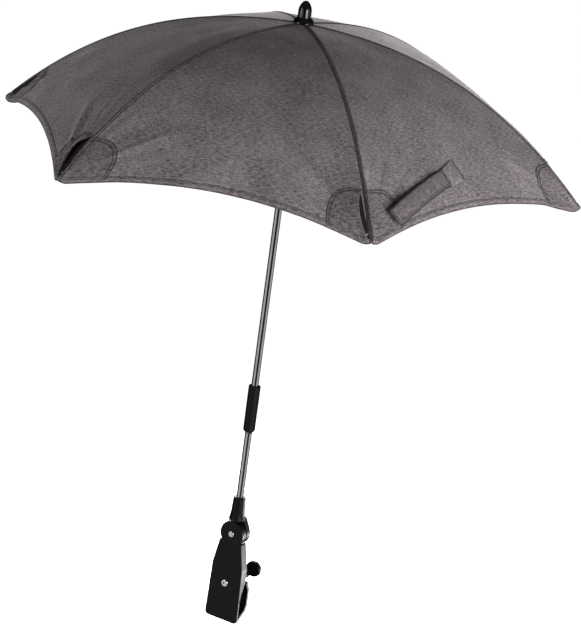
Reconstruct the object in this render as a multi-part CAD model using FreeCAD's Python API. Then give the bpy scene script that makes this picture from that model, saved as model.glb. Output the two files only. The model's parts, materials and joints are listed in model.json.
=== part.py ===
import FreeCAD
import Part
import math
import os

# Pram parasol with a six-rib canopy, a bending two-piece shaft and a tilting tube clamp.
# Millimetres. The origin is the centre of the tube that the clamp holds: +X runs along that
# tube, +Z runs up the shaft and the clamp's front face looks towards -Y.

# Canopy
CANOPY_RADIUS = 360.0
CANOPY_DROP = 155.7
RIB_COUNT = 6
FIRST_RIB_AZIMUTH = 17.4
PROFILE_SLOPE = 0.037
PROFILE_CURVE = 0.538
HEM_SCALLOP = 12.0
CORNER_REACH = 6.0
HEM_LIFT = 10.0
CLOTH_THICKNESS = 0.8
CLOTH_HOLE_RADIUS = 4.5
CLOTH_GAP = 0.35
SEAM_GAP = 0.2

# Tie strap that closes round the folded canopy
STRAP_WIDTH = 22.0
STRAP_THICKNESS = 1.2
STRAP_FREE_LIFT = 4.0
STRAP_START = (0.893, 0.95)
STRAP_END = (0.965, 0.19)

# Ribs and stretchers
RIB_WIDTH = 3.0
RIB_HEIGHT = 3.0
EYE_RADIUS = 2.6
EYE_THICKNESS = 1.8
RIB_ARM = 10.0
STRETCHER_PIVOT_RADIUS = 185.0
LUG_DROP = 8.0
LUG_RADIUS = 3.0
LUG_THICKNESS = 1.5
STRETCHER_HEIGHT = 3.5
FORK_CHEEK = 1.2
FORK_LENGTH = 22.0
RIVET_RADIUS = 1.0
RIVET_HEAD_RADIUS = 1.8
RIVET_HEAD = 0.7
TIP_CAP_RADIUS = 3.0
TIP_CAP_LENGTH = 15.0
TIP_CAP_BACK = 11.0
TIP_CAP_DROP = 0.5

# Crown, runner and their hinge wires
HINGE_RADIUS = 9.0
CROWN_HINGE_DROP = 8.0
WIRE_RADIUS = 0.7
WIRE_CLEARANCE = 0.1
HUB_RADIUS = 12.5
HUB_DEPTH = 6.0
CROWN_DISC = 1.9
RUNNER_HUB_TOP = 3.6
RUNNER_HUB_BOTTOM = 6.5
RUNNER_SLEEVE_RADIUS = 8.6
RUNNER_SLEEVE_LENGTH = 24.0
SLOT_CLEARANCE = 0.2
RUNNING_CLEARANCE = 0.1

# Finial
FINIAL_COLLAR_RADIUS = 12.5
FINIAL_COLLAR = 7.4
FINIAL_RADIUS = 8.1
FINIAL_HEIGHT = 27.3
FINIAL_LIP = 1.2
FINIAL_TIP_RADIUS = 3.4
FINIAL_TIP_RISE = 1.3
FINIAL_STRAIGHT = 7.0
FINIAL_STUD_RADIUS = 2.5
FINIAL_STUD_LENGTH = 17.0

# Shaft
TUBE_RADIUS = 4.5
TUBE_WALL = 0.6
FIT = 0.02
OVERCUT = 1.0
PLUG_LENGTH = 22.0
LOWER_TUBE_SHOWN = 89.0
UPPER_TUBE_SHOWN = 460.5

# Spring catch that holds the runner up
CATCH_WIDTH = 2.4
CATCH_HEIGHT = 7.0
CATCH_PROUD = 2.5
CATCH_PLATE = 1.2
CATCH_PLATE_WIDTH = 4.0
CATCH_PLATE_OVERLAP = 2.0
CATCH_CLEARANCE = 0.2

# Bend joint inside the black sleeve
SLEEVE_RADIUS = 7.5
SLEEVE_LENGTH = 61.5
SLEEVE_TIP_RADIUS = 5.6
SLEEVE_TAPER = 2.5
SLEEVE_RIM = 1.0
SLEEVE_SOCKET = 36.0
BEND_HEIGHT = 10.0
BEND_PIN_RADIUS = 1.5
BEND_PIN_BLIND = 2.0
TONGUE_THICKNESS = 5.0
TONGUE_HALF_WIDTH = 4.2
BEND_CLEARANCE = 0.3
PIN_CLEARANCE = 0.05

# Tilt head
SOCKET_LENGTH = 48.5
SOCKET_TOP_RADIUS = 7.9
SOCKET_WAIST_RADIUS = 8.9
SOCKET_FLARE_RADIUS = 10.6
SOCKET_BEVEL = 0.8
NECK_SPREAD = 28.0
WEB_LEAN = 3.0
WEB_RISE = 3.0
SOCKET_DEPTH = 31.0
SOCKET_SCREW_RADIUS = 1.6
SOCKET_SCREW_DROP = 16.0

# Knuckle between the clamp and the tilt head
KNUCKLE_HEIGHT = 90.5
KNUCKLE_RADIUS = 16.8
EAR_THICKNESS = 6.8
FRICTION_DISC_RADIUS = 16.2
FRICTION_DISC = 4.2
EAR_GAP = 0.15
TILT_SCREW_RADIUS = 2.5
TILT_HEAD_RADIUS = 4.2
TILT_HEAD = 1.6
TILT_HEAD_ROUND = 1.3
TILT_SCREW_TAIL = 1.0
TILT_NUT_FLATS = 8.0
TILT_NUT = 4.0
TILT_WASHER_RADIUS = 5.5
TILT_WASHER = 1.0

# Clamp
SEAT_RADIUS = 10.0
SEAT_LENGTH = 24.0
PAD_BASE = 1.5
PAD_LIP = 0.5
PAD_HALF_HEIGHT = 8.0
PLATE_THICKNESS = 3.0
BODY_DEPTH = 12.0
PLATE_BELOW_SEAT = 28.0
SHOULDER_DROP = 10.5
SHOULDER_HALF_WIDTH = 16.0
WAIST_DROP = 44.5
WAIST_HALF_WIDTH = 22.5
FOOT_HALF_WIDTH = 24.4
FOOT_CORNER = 5.0
SHOULDER_CORNER = 1.5
BODY_EDGE = 1.0
EAR_GROOVE = 0.7
BOLT_HEIGHT = 23.0
BOLT_RADIUS = 3.0
BOLT_HEAD_RADIUS = 5.0
BOLT_HEAD = 2.4
BOLT_HEAD_ROUND = 1.7
BOLT_SOCKET_FLATS = 4.0
BOLT_SOCKET = 1.6
BOLT_CLEARANCE = 0.2
BOLT_TAIL = 4.5
JAW_PIN_HEIGHT = 52.0
JAW_PIN_BEHIND = 8.5
JAW_PIN_RADIUS = 2.0
JAW_PIN_HEAD = 17.5
JAW_EYE_RADIUS = 4.2
JAW_HALF_WIDTH = 13.5
JAW_FOOT_HALF_WIDTH = 20.0
JAW_THICKNESS = 3.6
JAW_SIDE_GAP = 0.5
JAW_TIP_GAP = 6.0
JAW_SLOT = 9.3
BOSS_RADIUS = 8.0
BOSS_FACE = 13.0
BOSS_SETBACK = 5.4
WASHER_RADIUS = 6.5
WASHER_THICKNESS = 1.5
FACE_GAP = 0.05
WING_HUB_RADIUS = 7.0
WING_HUB_LENGTH = 13.4
WING_THICKNESS = 6.0
WING_LOBE_RADIUS = 10.4
WING_REACH = 16.5
WING_WAIST = 6.0
WING_TURN = 38.0
WING_EDGE = 1.5
NUT_FLATS = 10.0
NUT_HEIGHT = 7.0

# Places worked out from the sizes above
PROFILE_TIP = 1 - PROFILE_SLOPE - PROFILE_CURVE
FRONT_Y = -SEAT_RADIUS - PAD_BASE - PLATE_THICKNESS
PLATE_BACK_Y = FRONT_Y + PLATE_THICKNESS
EAR_BACK_Y = FRONT_Y + EAR_THICKNESS
DISC_BACK_Y = EAR_BACK_Y + FRICTION_DISC
HEAD_EAR_Y = DISC_BACK_Y + EAR_GAP
HEAD_EAR_BACK_Y = HEAD_EAR_Y + EAR_THICKNESS
SHAFT_Y = (FRONT_Y + HEAD_EAR_BACK_Y) / 2
SOCKET_TOP_Z = KNUCKLE_HEIGHT + SOCKET_LENGTH
SLEEVE_Z = SOCKET_TOP_Z + LOWER_TUBE_SHOWN
SLEEVE_TOP_Z = SLEEVE_Z + SLEEVE_LENGTH
BEND_Z = SLEEVE_Z + BEND_HEIGHT
APEX_Z = SLEEVE_TOP_Z + UPPER_TUBE_SHOWN
CROWN_HINGE_Z = APEX_Z - CROWN_HINGE_DROP
RIB_STEP = 360.0 / RIB_COUNT
HALF_STEP = RIB_STEP / 2
SLOT_WIDTH = EYE_THICKNESS + 2 * SLOT_CLEARANCE
SLOT_ROOT = HINGE_RADIUS - EYE_RADIUS - 2 * SLOT_CLEARANCE
TUBE_BORE = TUBE_RADIUS - TUBE_WALL
JAW_PIN_Y = FRONT_Y + JAW_PIN_BEHIND
CATCH_AZIMUTH = FIRST_RIB_AZIMUTH - HALF_STEP

shapes = {}


def vec(x, y, z):
    return FreeCAD.Vector(x, y, z)


def cosd(degrees):
    return math.cos(math.radians(degrees))


def sind(degrees):
    return math.sin(math.radians(degrees))


def keep(name, *solids):
    shapes[name] = solids[0] if len(solids) == 1 else Part.makeCompound(list(solids))


def rod_x(radius, x0, x1, y, z):
    return Part.makeCylinder(radius, x1 - x0, vec(x0, y, z), vec(1, 0, 0))


def rod_y(radius, y0, y1, x, z):
    return Part.makeCylinder(radius, y1 - y0, vec(x, y0, z), vec(0, 1, 0))


def block(x0, x1, y0, y1, z0, z1):
    return Part.makeBox(x1 - x0, y1 - y0, z1 - z0, vec(x0, y0, z0))


def slab(points, start, depth):
    """A flat outline, given as points in space, pushed out along depth from start."""
    moved = [point + start for point in points]
    return Part.Face(Part.makePolygon(moved + moved[:1])).extrude(depth)


def turned(points):
    """A solid of revolution about the Z axis from (radius, z) points of half its section."""
    wire = Part.makePolygon([vec(r, 0, z) for r, z in points + points[:1]])
    return Part.Face(wire).revolve(vec(0, 0, 0), vec(0, 0, 1), 360)


def hexagon_y(flats, y0, y1, x, z):
    corner = flats / 2 / cosd(30)
    points = [vec(x + corner * cosd(60 * i), y0, z + corner * sind(60 * i)) for i in range(6)]
    return slab(points, vec(0, 0, 0), vec(0, y1 - y0, 0))


def on_shaft(solid, azimuth=0.0):
    """Turn a piece made about the Z axis to its azimuth and carry it to the shaft."""
    solid = solid.copy()
    solid.rotate(vec(0, 0, 0), vec(0, 0, 1), azimuth)
    solid.translate(vec(0, SHAFT_Y, 0))
    return solid


# Canopy cloth


def cloth_top(radius):
    """Height of the cloth over a rib, at this distance from the shaft."""
    t = radius / CANOPY_RADIUS
    return APEX_Z - CANOPY_DROP * (PROFILE_SLOPE * t + PROFILE_CURVE * t**2 + PROFILE_TIP * t**3)


def cloth_point(along, across, side):
    """A point on the cloth of a half gore: along runs from crown to hem and across from rib to seam."""
    bow = 1 - (1 - across) ** 2
    end = CANOPY_RADIUS + CORNER_REACH - HEM_SCALLOP / cosd(HALF_STEP) * bow
    radius = CLOTH_HOLE_RADIUS + along * (end - CLOTH_HOLE_RADIUS)
    first = SEAM_GAP / cosd(HALF_STEP)
    last = radius * sind(HALF_STEP) - SEAM_GAP
    reach = first + across * (last - first)
    height = cloth_top(radius) + HEM_LIFT * (radius / CANOPY_RADIUS) ** 2 * bow
    return vec(radius - reach * sind(HALF_STEP), side * reach * cosd(HALF_STEP), height)


def cloth_sheet(rows, thickness):
    """A thin closed solid whose upper face runs through rows of points."""
    surface = Part.BSplineSurface()
    surface.interpolate(rows)
    return surface.toShape().extrude(vec(0, 0, -thickness))


def half_gore(side):
    rows = [[cloth_point(i / 8, j / 4, side) for j in range(5)] for i in range(9)]
    return cloth_sheet(rows, CLOTH_THICKNESS)


def tie_strap(side):
    """The strap lies on one half gore, sewn at its start and standing off a little at its free end."""
    rows = []
    for i in range(7):
        share = i / 6
        along = STRAP_START[0] + share * (STRAP_END[0] - STRAP_START[0])
        across = STRAP_START[1] + share * (STRAP_END[1] - STRAP_START[1])
        middle = cloth_point(along, across, side)
        uphill = (cloth_point(along - 0.01, across, side) - middle).normalize()
        forward = cloth_point(along, across - 0.02, side) - middle
        sideways = (uphill - forward * (uphill.dot(forward) / forward.dot(forward))).normalize()
        lift = CLOTH_GAP + STRAP_THICKNESS + STRAP_FREE_LIFT * share**2
        row = []
        for j in (-1, 0, 1):
            row.append(middle + sideways * (j * STRAP_WIDTH / 2) + vec(0, 0, lift))
        rows.append(row)
    return cloth_sheet(rows, STRAP_THICKNESS)


# Ribs and stretchers, drawn in the radial plane at azimuth 0


def rib_top(radius):
    """Top of a rib, under the cloth that falls away on both sides of the rib line."""
    beside = RIB_WIDTH / 2 * math.tan(math.radians(HALF_STEP))
    return cloth_top(radius + beside) - CLOTH_THICKNESS - CLOTH_GAP


CROWN_TOP_Z = cloth_top(HUB_RADIUS) - CLOTH_THICKNESS - CLOTH_GAP
PIVOT = vec(STRETCHER_PIVOT_RADIUS, 0, cloth_top(STRETCHER_PIVOT_RADIUS) - LUG_DROP)
CROWN_HINGE = vec(HINGE_RADIUS, 0, CROWN_HINGE_Z)
LINK_LENGTH = (PIVOT - CROWN_HINGE).Length
RUNNER_Z = 2 * PIVOT.z - CROWN_HINGE_Z
RUNNER_HINGE = vec(HINGE_RADIUS, 0, RUNNER_Z)
RUNNER_BOTTOM_Z = RUNNER_Z - RUNNER_HUB_BOTTOM - RUNNER_SLEEVE_LENGTH
EYE_HOLE = WIRE_RADIUS + WIRE_CLEARANCE
RIB_END = CANOPY_RADIUS - TIP_CAP_BACK - TIP_CAP_RADIUS / 2


def flat_plate(outline, thickness):
    return slab(outline, vec(0, -thickness / 2, 0), vec(0, thickness, 0))


def eye(centre, radius, thickness):
    return rod_y(radius, -thickness / 2, thickness / 2, centre.x, centre.z)


def rib():
    """A bowed rib with a hinge eye at the crown and a lug for its stretcher."""
    start = HINGE_RADIUS + RIB_ARM
    stations = [start + (RIB_END - start) * i / 12 for i in range(13)]
    top = [vec(r, -RIB_WIDTH / 2, rib_top(r)) for r in stations]
    low = [point - vec(0, 0, RIB_HEIGHT) for point in top]
    upper = Part.BSplineCurve()
    upper.interpolate(top)
    lower = Part.BSplineCurve()
    lower.interpolate(low)
    ends = [Part.makeLine(top[0], low[0]), Part.makeLine(top[-1], low[-1])]
    edges = [upper.toShape(), ends[1], lower.toShape(), ends[0]]
    bow = Part.Face(Part.Wire(Part.__sortEdges__(edges))).extrude(vec(0, RIB_WIDTH, 0))
    arm = flat_plate(
        [
            CROWN_HINGE + vec(0, 0, EYE_RADIUS),
            vec(start, 0, rib_top(start)),
            vec(start + RIB_HEIGHT, 0, rib_top(start + RIB_HEIGHT) - RIB_HEIGHT / 2),
            vec(start, 0, rib_top(start) - RIB_HEIGHT),
            CROWN_HINGE - vec(0, 0, EYE_RADIUS),
        ],
        EYE_THICKNESS,
    )
    lug_foot = RIB_HEIGHT / 2 + CLOTH_THICKNESS + CLOTH_GAP
    lug = flat_plate(
        [
            PIVOT + vec(-LUG_RADIUS, 0, 0),
            PIVOT + vec(LUG_RADIUS, 0, 0),
            PIVOT + vec(LUG_RADIUS, 0, LUG_DROP - lug_foot),
            PIVOT + vec(-LUG_RADIUS, 0, LUG_DROP - lug_foot),
        ],
        LUG_THICKNESS,
    )
    crown_eye = eye(CROWN_HINGE, EYE_RADIUS, EYE_THICKNESS)
    lug_eye = eye(PIVOT, LUG_RADIUS, LUG_THICKNESS)
    solid = bow.fuse([arm, crown_eye, lug, lug_eye])
    solid = solid.cut(eye(CROWN_HINGE, EYE_HOLE, RIB_WIDTH))
    return solid.cut(eye(PIVOT, RIVET_RADIUS + PIN_CLEARANCE, RIB_WIDTH))


def tip_cap():
    """A rounded cap pushed over the rib's end, under the corner of the cloth."""
    front = CANOPY_RADIUS - TIP_CAP_BACK
    back = front + TIP_CAP_RADIUS - TIP_CAP_LENGTH
    fall = math.atan2(cloth_top(back) - cloth_top(front), front - back)
    drop = CLOTH_THICKNESS + CLOTH_GAP + TIP_CAP_RADIUS / math.cos(fall) + TIP_CAP_DROP
    first = vec(back, 0, cloth_top(back) - drop)
    last = vec(front, 0, cloth_top(front) - drop)
    run = last - first
    nose = Part.makeSphere(TIP_CAP_RADIUS, last)
    return Part.makeCylinder(TIP_CAP_RADIUS, run.Length, first, run).fuse(nose)


def stretcher():
    """A bar from the runner to the rib's lug, forked at the lug, with the rivet that it holds."""
    run = (PIVOT - RUNNER_HINGE).normalize()
    up = vec(-run.z, 0, run.x) * (STRETCHER_HEIGHT / 2)
    bar_end = PIVOT - run * (LUG_RADIUS * 2)
    fork_start = PIVOT - run * FORK_LENGTH
    bar = flat_plate([RUNNER_HINGE - up, bar_end - up, bar_end + up, RUNNER_HINGE + up], EYE_THICKNESS)
    solid = bar.fuse(eye(RUNNER_HINGE, EYE_RADIUS, EYE_THICKNESS))
    inside = EYE_THICKNESS / 2
    for side in (-1, 1):
        step = vec(0, side * FORK_CHEEK, 0)
        root = vec(0, side * inside, 0)
        cheek = slab([fork_start - up, PIVOT - up, PIVOT + up, fork_start + up], root, step)
        knuckle = Part.makeCylinder(LUG_RADIUS, FORK_CHEEK, PIVOT + root, vec(0, side, 0))
        solid = solid.fuse([cheek, knuckle])
    solid = solid.cut(eye(RUNNER_HINGE, EYE_HOLE, RIB_WIDTH))
    reach = inside + FORK_CHEEK
    solid = solid.cut(eye(PIVOT, RIVET_RADIUS, 2 * reach))
    rivet = eye(PIVOT, RIVET_RADIUS, 2 * reach)
    for side in (-1, 1):
        root = PIVOT + vec(0, side * reach, 0)
        rivet = rivet.fuse(Part.makeCylinder(RIVET_HEAD_RADIUS, RIVET_HEAD, root, vec(0, side, 0)))
    return solid, rivet


def slots(z0, z1):
    """Radial slots in a hub, one for each rib."""
    cut = block(SLOT_ROOT, 2 * HUB_RADIUS, -SLOT_WIDTH / 2, SLOT_WIDTH / 2, z0, z1)
    for i in range(RIB_COUNT):
        slot = cut.copy()
        slot.rotate(vec(0, 0, 0), vec(0, 0, 1), FIRST_RIB_AZIMUTH + i * RIB_STEP)
        yield slot


def hinge_wire(z, radius):
    return Part.makeTorus(HINGE_RADIUS, radius, vec(0, 0, z))


def crown():
    """The slotted hub at the top of the shaft; its disc carries the middle of the cloth."""
    bottom = CROWN_HINGE_Z - HUB_DEPTH
    under = CROWN_TOP_Z - CROWN_DISC
    hub = Part.makeCylinder(HUB_RADIUS, CROWN_TOP_Z - bottom, vec(0, 0, bottom))
    hub = hub.cut(Part.makeCylinder(TUBE_RADIUS + FIT, under - bottom, vec(0, 0, bottom)))
    hub = hub.cut(Part.makeCylinder(FINIAL_STUD_RADIUS + PIN_CLEARANCE, CROWN_DISC, vec(0, 0, under)))
    return hub.cut(list(slots(bottom, under)) + [hinge_wire(CROWN_HINGE_Z, WIRE_RADIUS + FIT)])


def runner():
    """The slotted runner; a keyway in its bore passes the spring catch."""
    floor = RUNNER_Z - EYE_RADIUS - 2 * SLOT_CLEARANCE
    hub_bottom = RUNNER_Z - RUNNER_HUB_BOTTOM
    top = RUNNER_Z + RUNNER_HUB_TOP
    solid = turned(
        [
            (TUBE_RADIUS + RUNNING_CLEARANCE, RUNNER_BOTTOM_Z),
            (RUNNER_SLEEVE_RADIUS, RUNNER_BOTTOM_Z),
            (RUNNER_SLEEVE_RADIUS, hub_bottom - (HUB_RADIUS - RUNNER_SLEEVE_RADIUS)),
            (HUB_RADIUS, hub_bottom),
            (HUB_RADIUS, top),
            (TUBE_RADIUS + RUNNING_CLEARANCE, top),
        ]
    )
    half = CATCH_WIDTH / 2 + CATCH_CLEARANCE
    reach = TUBE_RADIUS + CATCH_PROUD + CATCH_CLEARANCE
    keyway = block(0, reach, -half, half, RUNNER_BOTTOM_Z, top)
    keyway.rotate(vec(0, 0, 0), vec(0, 0, 1), CATCH_AZIMUTH)
    return solid.cut(list(slots(floor, top)) + [hinge_wire(RUNNER_Z, WIRE_RADIUS + FIT), keyway])


def finial():
    """The glossy cap that screws down over the cloth."""
    foot = APEX_Z + FIT
    shoulder = foot + FINIAL_COLLAR
    tip = APEX_Z + FINIAL_HEIGHT
    nose = shoulder + FINIAL_STRAIGHT
    lip = vec(FINIAL_COLLAR_RADIUS, 0, foot + FINIAL_LIP)
    neck = vec(FINIAL_RADIUS, 0, shoulder)
    dome = (lip + neck) * 0.5 + vec(FINIAL_LIP / 2, 0, FINIAL_LIP / 2)
    rise = tip - FINIAL_TIP_RISE - nose
    narrowing = FINIAL_RADIUS - FINIAL_TIP_RADIUS
    ogive = (rise**2 + narrowing**2) / (2 * narrowing)
    waist = FINIAL_RADIUS - ogive + math.sqrt(ogive**2 - (rise / 2) ** 2)
    tip_edge = vec(FINIAL_TIP_RADIUS, 0, tip - FINIAL_TIP_RISE)
    tip_sphere = (FINIAL_TIP_RADIUS**2 + FINIAL_TIP_RISE**2) / (2 * FINIAL_TIP_RISE)
    half_angle = math.asin(FINIAL_TIP_RADIUS / tip_sphere) / 2
    tip_middle = vec(tip_sphere * math.sin(half_angle), 0, tip - tip_sphere * (1 - math.cos(half_angle)))
    profile = Part.Wire(
        [
            Part.makeLine(vec(0, 0, foot), vec(FINIAL_COLLAR_RADIUS, 0, foot)),
            Part.makeLine(vec(FINIAL_COLLAR_RADIUS, 0, foot), lip),
            Part.Arc(lip, dome, neck).toShape(),
            Part.makeLine(neck, vec(FINIAL_RADIUS, 0, nose)),
            Part.Arc(vec(FINIAL_RADIUS, 0, nose), vec(waist, 0, nose + rise / 2), tip_edge).toShape(),
            Part.Arc(tip_edge, tip_middle, vec(0, 0, tip)).toShape(),
            Part.makeLine(vec(0, 0, tip), vec(0, 0, foot)),
        ]
    )
    cap = Part.Face(profile).revolve(vec(0, 0, 0), vec(0, 0, 1), 360)
    stud_z = foot - FINIAL_STUD_LENGTH
    stud = Part.makeCylinder(FINIAL_STUD_RADIUS, FINIAL_STUD_LENGTH, vec(0, 0, stud_z))
    return cap.fuse(stud)


# Shaft


def tube(z0, z1):
    outer = Part.makeCylinder(TUBE_RADIUS, z1 - z0, vec(0, 0, z0))
    return outer.cut(Part.makeCylinder(TUBE_BORE, z1 - z0, vec(0, 0, z0)))


CATCH_TOP_Z = RUNNER_BOTTOM_Z - CLOTH_GAP
UPPER_TUBE_Z = SLEEVE_TOP_Z - SLEEVE_SOCKET
UPPER_TUBE_TOP_Z = CROWN_TOP_Z - CROWN_DISC


def upper_tube():
    half = CATCH_WIDTH / 2 + CATCH_CLEARANCE
    sill = CATCH_TOP_Z - CATCH_HEIGHT - CATCH_CLEARANCE
    window = block(0, 2 * TUBE_RADIUS, -half, half, sill, CATCH_TOP_Z + CATCH_CLEARANCE)
    window.rotate(vec(0, 0, 0), vec(0, 0, 1), CATCH_AZIMUTH)
    return tube(UPPER_TUBE_Z, UPPER_TUBE_TOP_Z).cut(window)


def spring_catch():
    """A sprung nose that stands out of the tube under the runner, on a plate inside the tube."""
    plate_face = math.sqrt(TUBE_BORE**2 - (CATCH_PLATE_WIDTH / 2) ** 2) - CATCH_CLEARANCE
    bottom = CATCH_TOP_Z - CATCH_HEIGHT
    plate = block(
        plate_face - CATCH_PLATE,
        plate_face,
        -CATCH_PLATE_WIDTH / 2,
        CATCH_PLATE_WIDTH / 2,
        bottom - CATCH_PLATE_OVERLAP,
        CATCH_TOP_Z + CATCH_PLATE_OVERLAP,
    )
    proud = TUBE_RADIUS + CATCH_PROUD
    ramp = CATCH_HEIGHT / 2
    nose = slab(
        [
            vec(plate_face - CATCH_PLATE / 2, 0, bottom),
            vec(TUBE_RADIUS, 0, bottom),
            vec(proud, 0, bottom + ramp),
            vec(proud, 0, CATCH_TOP_Z),
            vec(plate_face - CATCH_PLATE / 2, 0, CATCH_TOP_Z),
        ],
        vec(0, -CATCH_WIDTH / 2, 0),
        vec(0, CATCH_WIDTH, 0),
    )
    return plate.fuse(nose)


def top_plug():
    """A threaded plug in the tube's top end that takes the finial's stud."""
    z0 = UPPER_TUBE_TOP_Z - PLUG_LENGTH
    plug = Part.makeCylinder(TUBE_BORE - FIT, PLUG_LENGTH, vec(0, 0, z0))
    return plug.cut(Part.makeCylinder(FINIAL_STUD_RADIUS + FIT, PLUG_LENGTH, vec(0, 0, z0)))


def bend_sleeve():
    """The black sleeve: a socket for the upper tube above, and a slotted fork for the bend joint below."""
    body = turned(
        [
            (0, SLEEVE_Z),
            (SLEEVE_TIP_RADIUS, SLEEVE_Z),
            (SLEEVE_RADIUS, SLEEVE_Z + SLEEVE_TAPER),
            (SLEEVE_RADIUS, SLEEVE_TOP_Z - SLEEVE_RIM),
            (SLEEVE_RADIUS - SLEEVE_RIM, SLEEVE_TOP_Z),
            (0, SLEEVE_TOP_Z),
        ]
    )
    body = body.cut(Part.makeCylinder(TUBE_RADIUS + FIT, SLEEVE_SOCKET, vec(0, 0, UPPER_TUBE_Z)))
    half = TONGUE_THICKNESS / 2 + SLOT_CLEARANCE
    reach = TONGUE_HALF_WIDTH + BEND_CLEARANCE
    slot = block(-half, half, 0, 2 * SLEEVE_RADIUS, SLEEVE_Z, BEND_Z)
    slot = slot.fuse(block(-half, half, -reach, 0, SLEEVE_Z, BEND_Z))
    slot = slot.fuse(rod_x(reach, -half, half, 0, BEND_Z))
    slot = slot.fuse(block(-half, half, 0, 2 * SLEEVE_RADIUS, BEND_Z, BEND_Z + reach))
    body = body.cut(slot)
    return body.cut(rod_x(BEND_PIN_RADIUS, -SLEEVE_RADIUS, SLEEVE_RADIUS - BEND_PIN_BLIND, 0, BEND_Z))


BEND_REACH = math.hypot(SLEEVE_TIP_RADIUS, BEND_HEIGHT) + BEND_CLEARANCE
LOWER_TUBE_TOP_Z = BEND_Z - BEND_REACH
LOWER_TUBE_Z = SOCKET_TOP_Z - SOCKET_DEPTH


def bend_pin():
    head = -SLEEVE_RADIUS + SLEEVE_RIM / 2
    return rod_x(BEND_PIN_RADIUS, head, SLEEVE_RADIUS - BEND_PIN_BLIND, 0, BEND_Z)


def bend_tongue():
    """A plug in the lower tube with a flat tongue that turns on the bend pin."""
    plug = Part.makeCylinder(TUBE_BORE - FIT, PLUG_LENGTH, vec(0, 0, LOWER_TUBE_TOP_Z - PLUG_LENGTH))
    half = TONGUE_THICKNESS / 2
    tongue = block(-half, half, -TONGUE_HALF_WIDTH, TONGUE_HALF_WIDTH, LOWER_TUBE_TOP_Z, BEND_Z)
    solid = plug.fuse([tongue, rod_x(TONGUE_HALF_WIDTH, -half, half, 0, BEND_Z)])
    return solid.cut(rod_x(BEND_PIN_RADIUS + PIN_CLEARANCE, -half, half, 0, BEND_Z))


# Tilt head and knuckle, placed in the part's own frame


def tilt_head():
    """The socket for the lower tube, with a rear ear that turns on the tilt screw."""
    floor = KNUCKLE_HEIGHT + KNUCKLE_RADIUS + FRICTION_DISC / 2
    waist = floor + (SOCKET_TOP_Z - floor) / 3
    neck = turned(
        [
            (0, floor),
            (SOCKET_FLARE_RADIUS, floor),
            (SOCKET_WAIST_RADIUS + (SOCKET_FLARE_RADIUS - SOCKET_WAIST_RADIUS) / 3, (floor + waist) / 2),
            (SOCKET_WAIST_RADIUS, waist),
            (SOCKET_TOP_RADIUS, SOCKET_TOP_Z - SOCKET_BEVEL),
            (SOCKET_TOP_RADIUS - SOCKET_BEVEL, SOCKET_TOP_Z),
            (0, SOCKET_TOP_Z),
        ]
    )
    neck = on_shaft(neck)
    ear = rod_y(KNUCKLE_RADIUS, HEAD_EAR_Y, HEAD_EAR_BACK_Y, 0, KNUCKLE_HEIGHT)
    side = KNUCKLE_RADIUS * cosd(NECK_SPREAD)
    lift = KNUCKLE_RADIUS * sind(NECK_SPREAD)
    web_top = floor + WEB_RISE
    web = slab(
        [
            vec(-side, 0, KNUCKLE_HEIGHT + lift),
            vec(side, 0, KNUCKLE_HEIGHT + lift),
            vec(SOCKET_WAIST_RADIUS, 0, web_top),
            vec(-SOCKET_WAIST_RADIUS, 0, web_top),
        ],
        vec(0, HEAD_EAR_Y, 0),
        vec(0, EAR_THICKNESS, 0),
    )
    lean = slab(
        [
            vec(0, HEAD_EAR_Y, KNUCKLE_HEIGHT),
            vec(0, HEAD_EAR_BACK_Y, KNUCKLE_HEIGHT),
            vec(0, HEAD_EAR_BACK_Y, KNUCKLE_HEIGHT + KNUCKLE_RADIUS - WEB_LEAN),
            vec(0, SHAFT_Y + SOCKET_WAIST_RADIUS - SOCKET_BEVEL, web_top),
            vec(0, HEAD_EAR_Y, web_top),
        ],
        vec(-KNUCKLE_RADIUS, 0, 0),
        vec(2 * KNUCKLE_RADIUS, 0, 0),
    )
    web = web.common(Part.makeCylinder(KNUCKLE_RADIUS, waist, vec(0, SHAFT_Y, 0))).common(lean)
    solid = neck.fuse([ear, web])
    bore = Part.makeCylinder(TUBE_RADIUS + FIT, SOCKET_DEPTH, vec(0, SHAFT_Y, LOWER_TUBE_Z))
    screw_z = SOCKET_TOP_Z - SOCKET_SCREW_DROP
    screw = rod_y(SOCKET_SCREW_RADIUS + FIT, SHAFT_Y, SHAFT_Y + 2 * SOCKET_WAIST_RADIUS, 0, screw_z)
    pivot = rod_y(TILT_SCREW_RADIUS + PIN_CLEARANCE, HEAD_EAR_Y, HEAD_EAR_BACK_Y, 0, KNUCKLE_HEIGHT)
    return solid.cut([bore, screw, pivot])


def socket_screw():
    """A grub screw at the back of the socket, tight against the tube."""
    z = SOCKET_TOP_Z - SOCKET_SCREW_DROP
    y0 = SHAFT_Y + TUBE_RADIUS
    return rod_y(SOCKET_SCREW_RADIUS, y0, SHAFT_Y + SOCKET_WAIST_RADIUS - FACE_GAP, 0, z)


def friction_disc():
    disc = rod_y(FRICTION_DISC_RADIUS, EAR_BACK_Y, DISC_BACK_Y, 0, KNUCKLE_HEIGHT)
    return disc.cut(rod_y(TILT_SCREW_RADIUS, EAR_BACK_Y, DISC_BACK_Y, 0, KNUCKLE_HEIGHT))


TILT_WASHER_Y = HEAD_EAR_BACK_Y + EAR_GAP


def tilt_screw():
    shank_end = TILT_WASHER_Y + TILT_WASHER + TILT_NUT + TILT_SCREW_TAIL
    shank = rod_y(TILT_SCREW_RADIUS, FRONT_Y, shank_end, 0, KNUCKLE_HEIGHT)
    head = rod_y(TILT_HEAD_RADIUS, FRONT_Y - TILT_HEAD, FRONT_Y, 0, KNUCKLE_HEIGHT)
    rim = [edge for edge in head.Edges if edge.BoundBox.YMax < FRONT_Y - TILT_HEAD / 2]
    return head.makeFillet(TILT_HEAD_ROUND, rim).fuse(shank)


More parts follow.
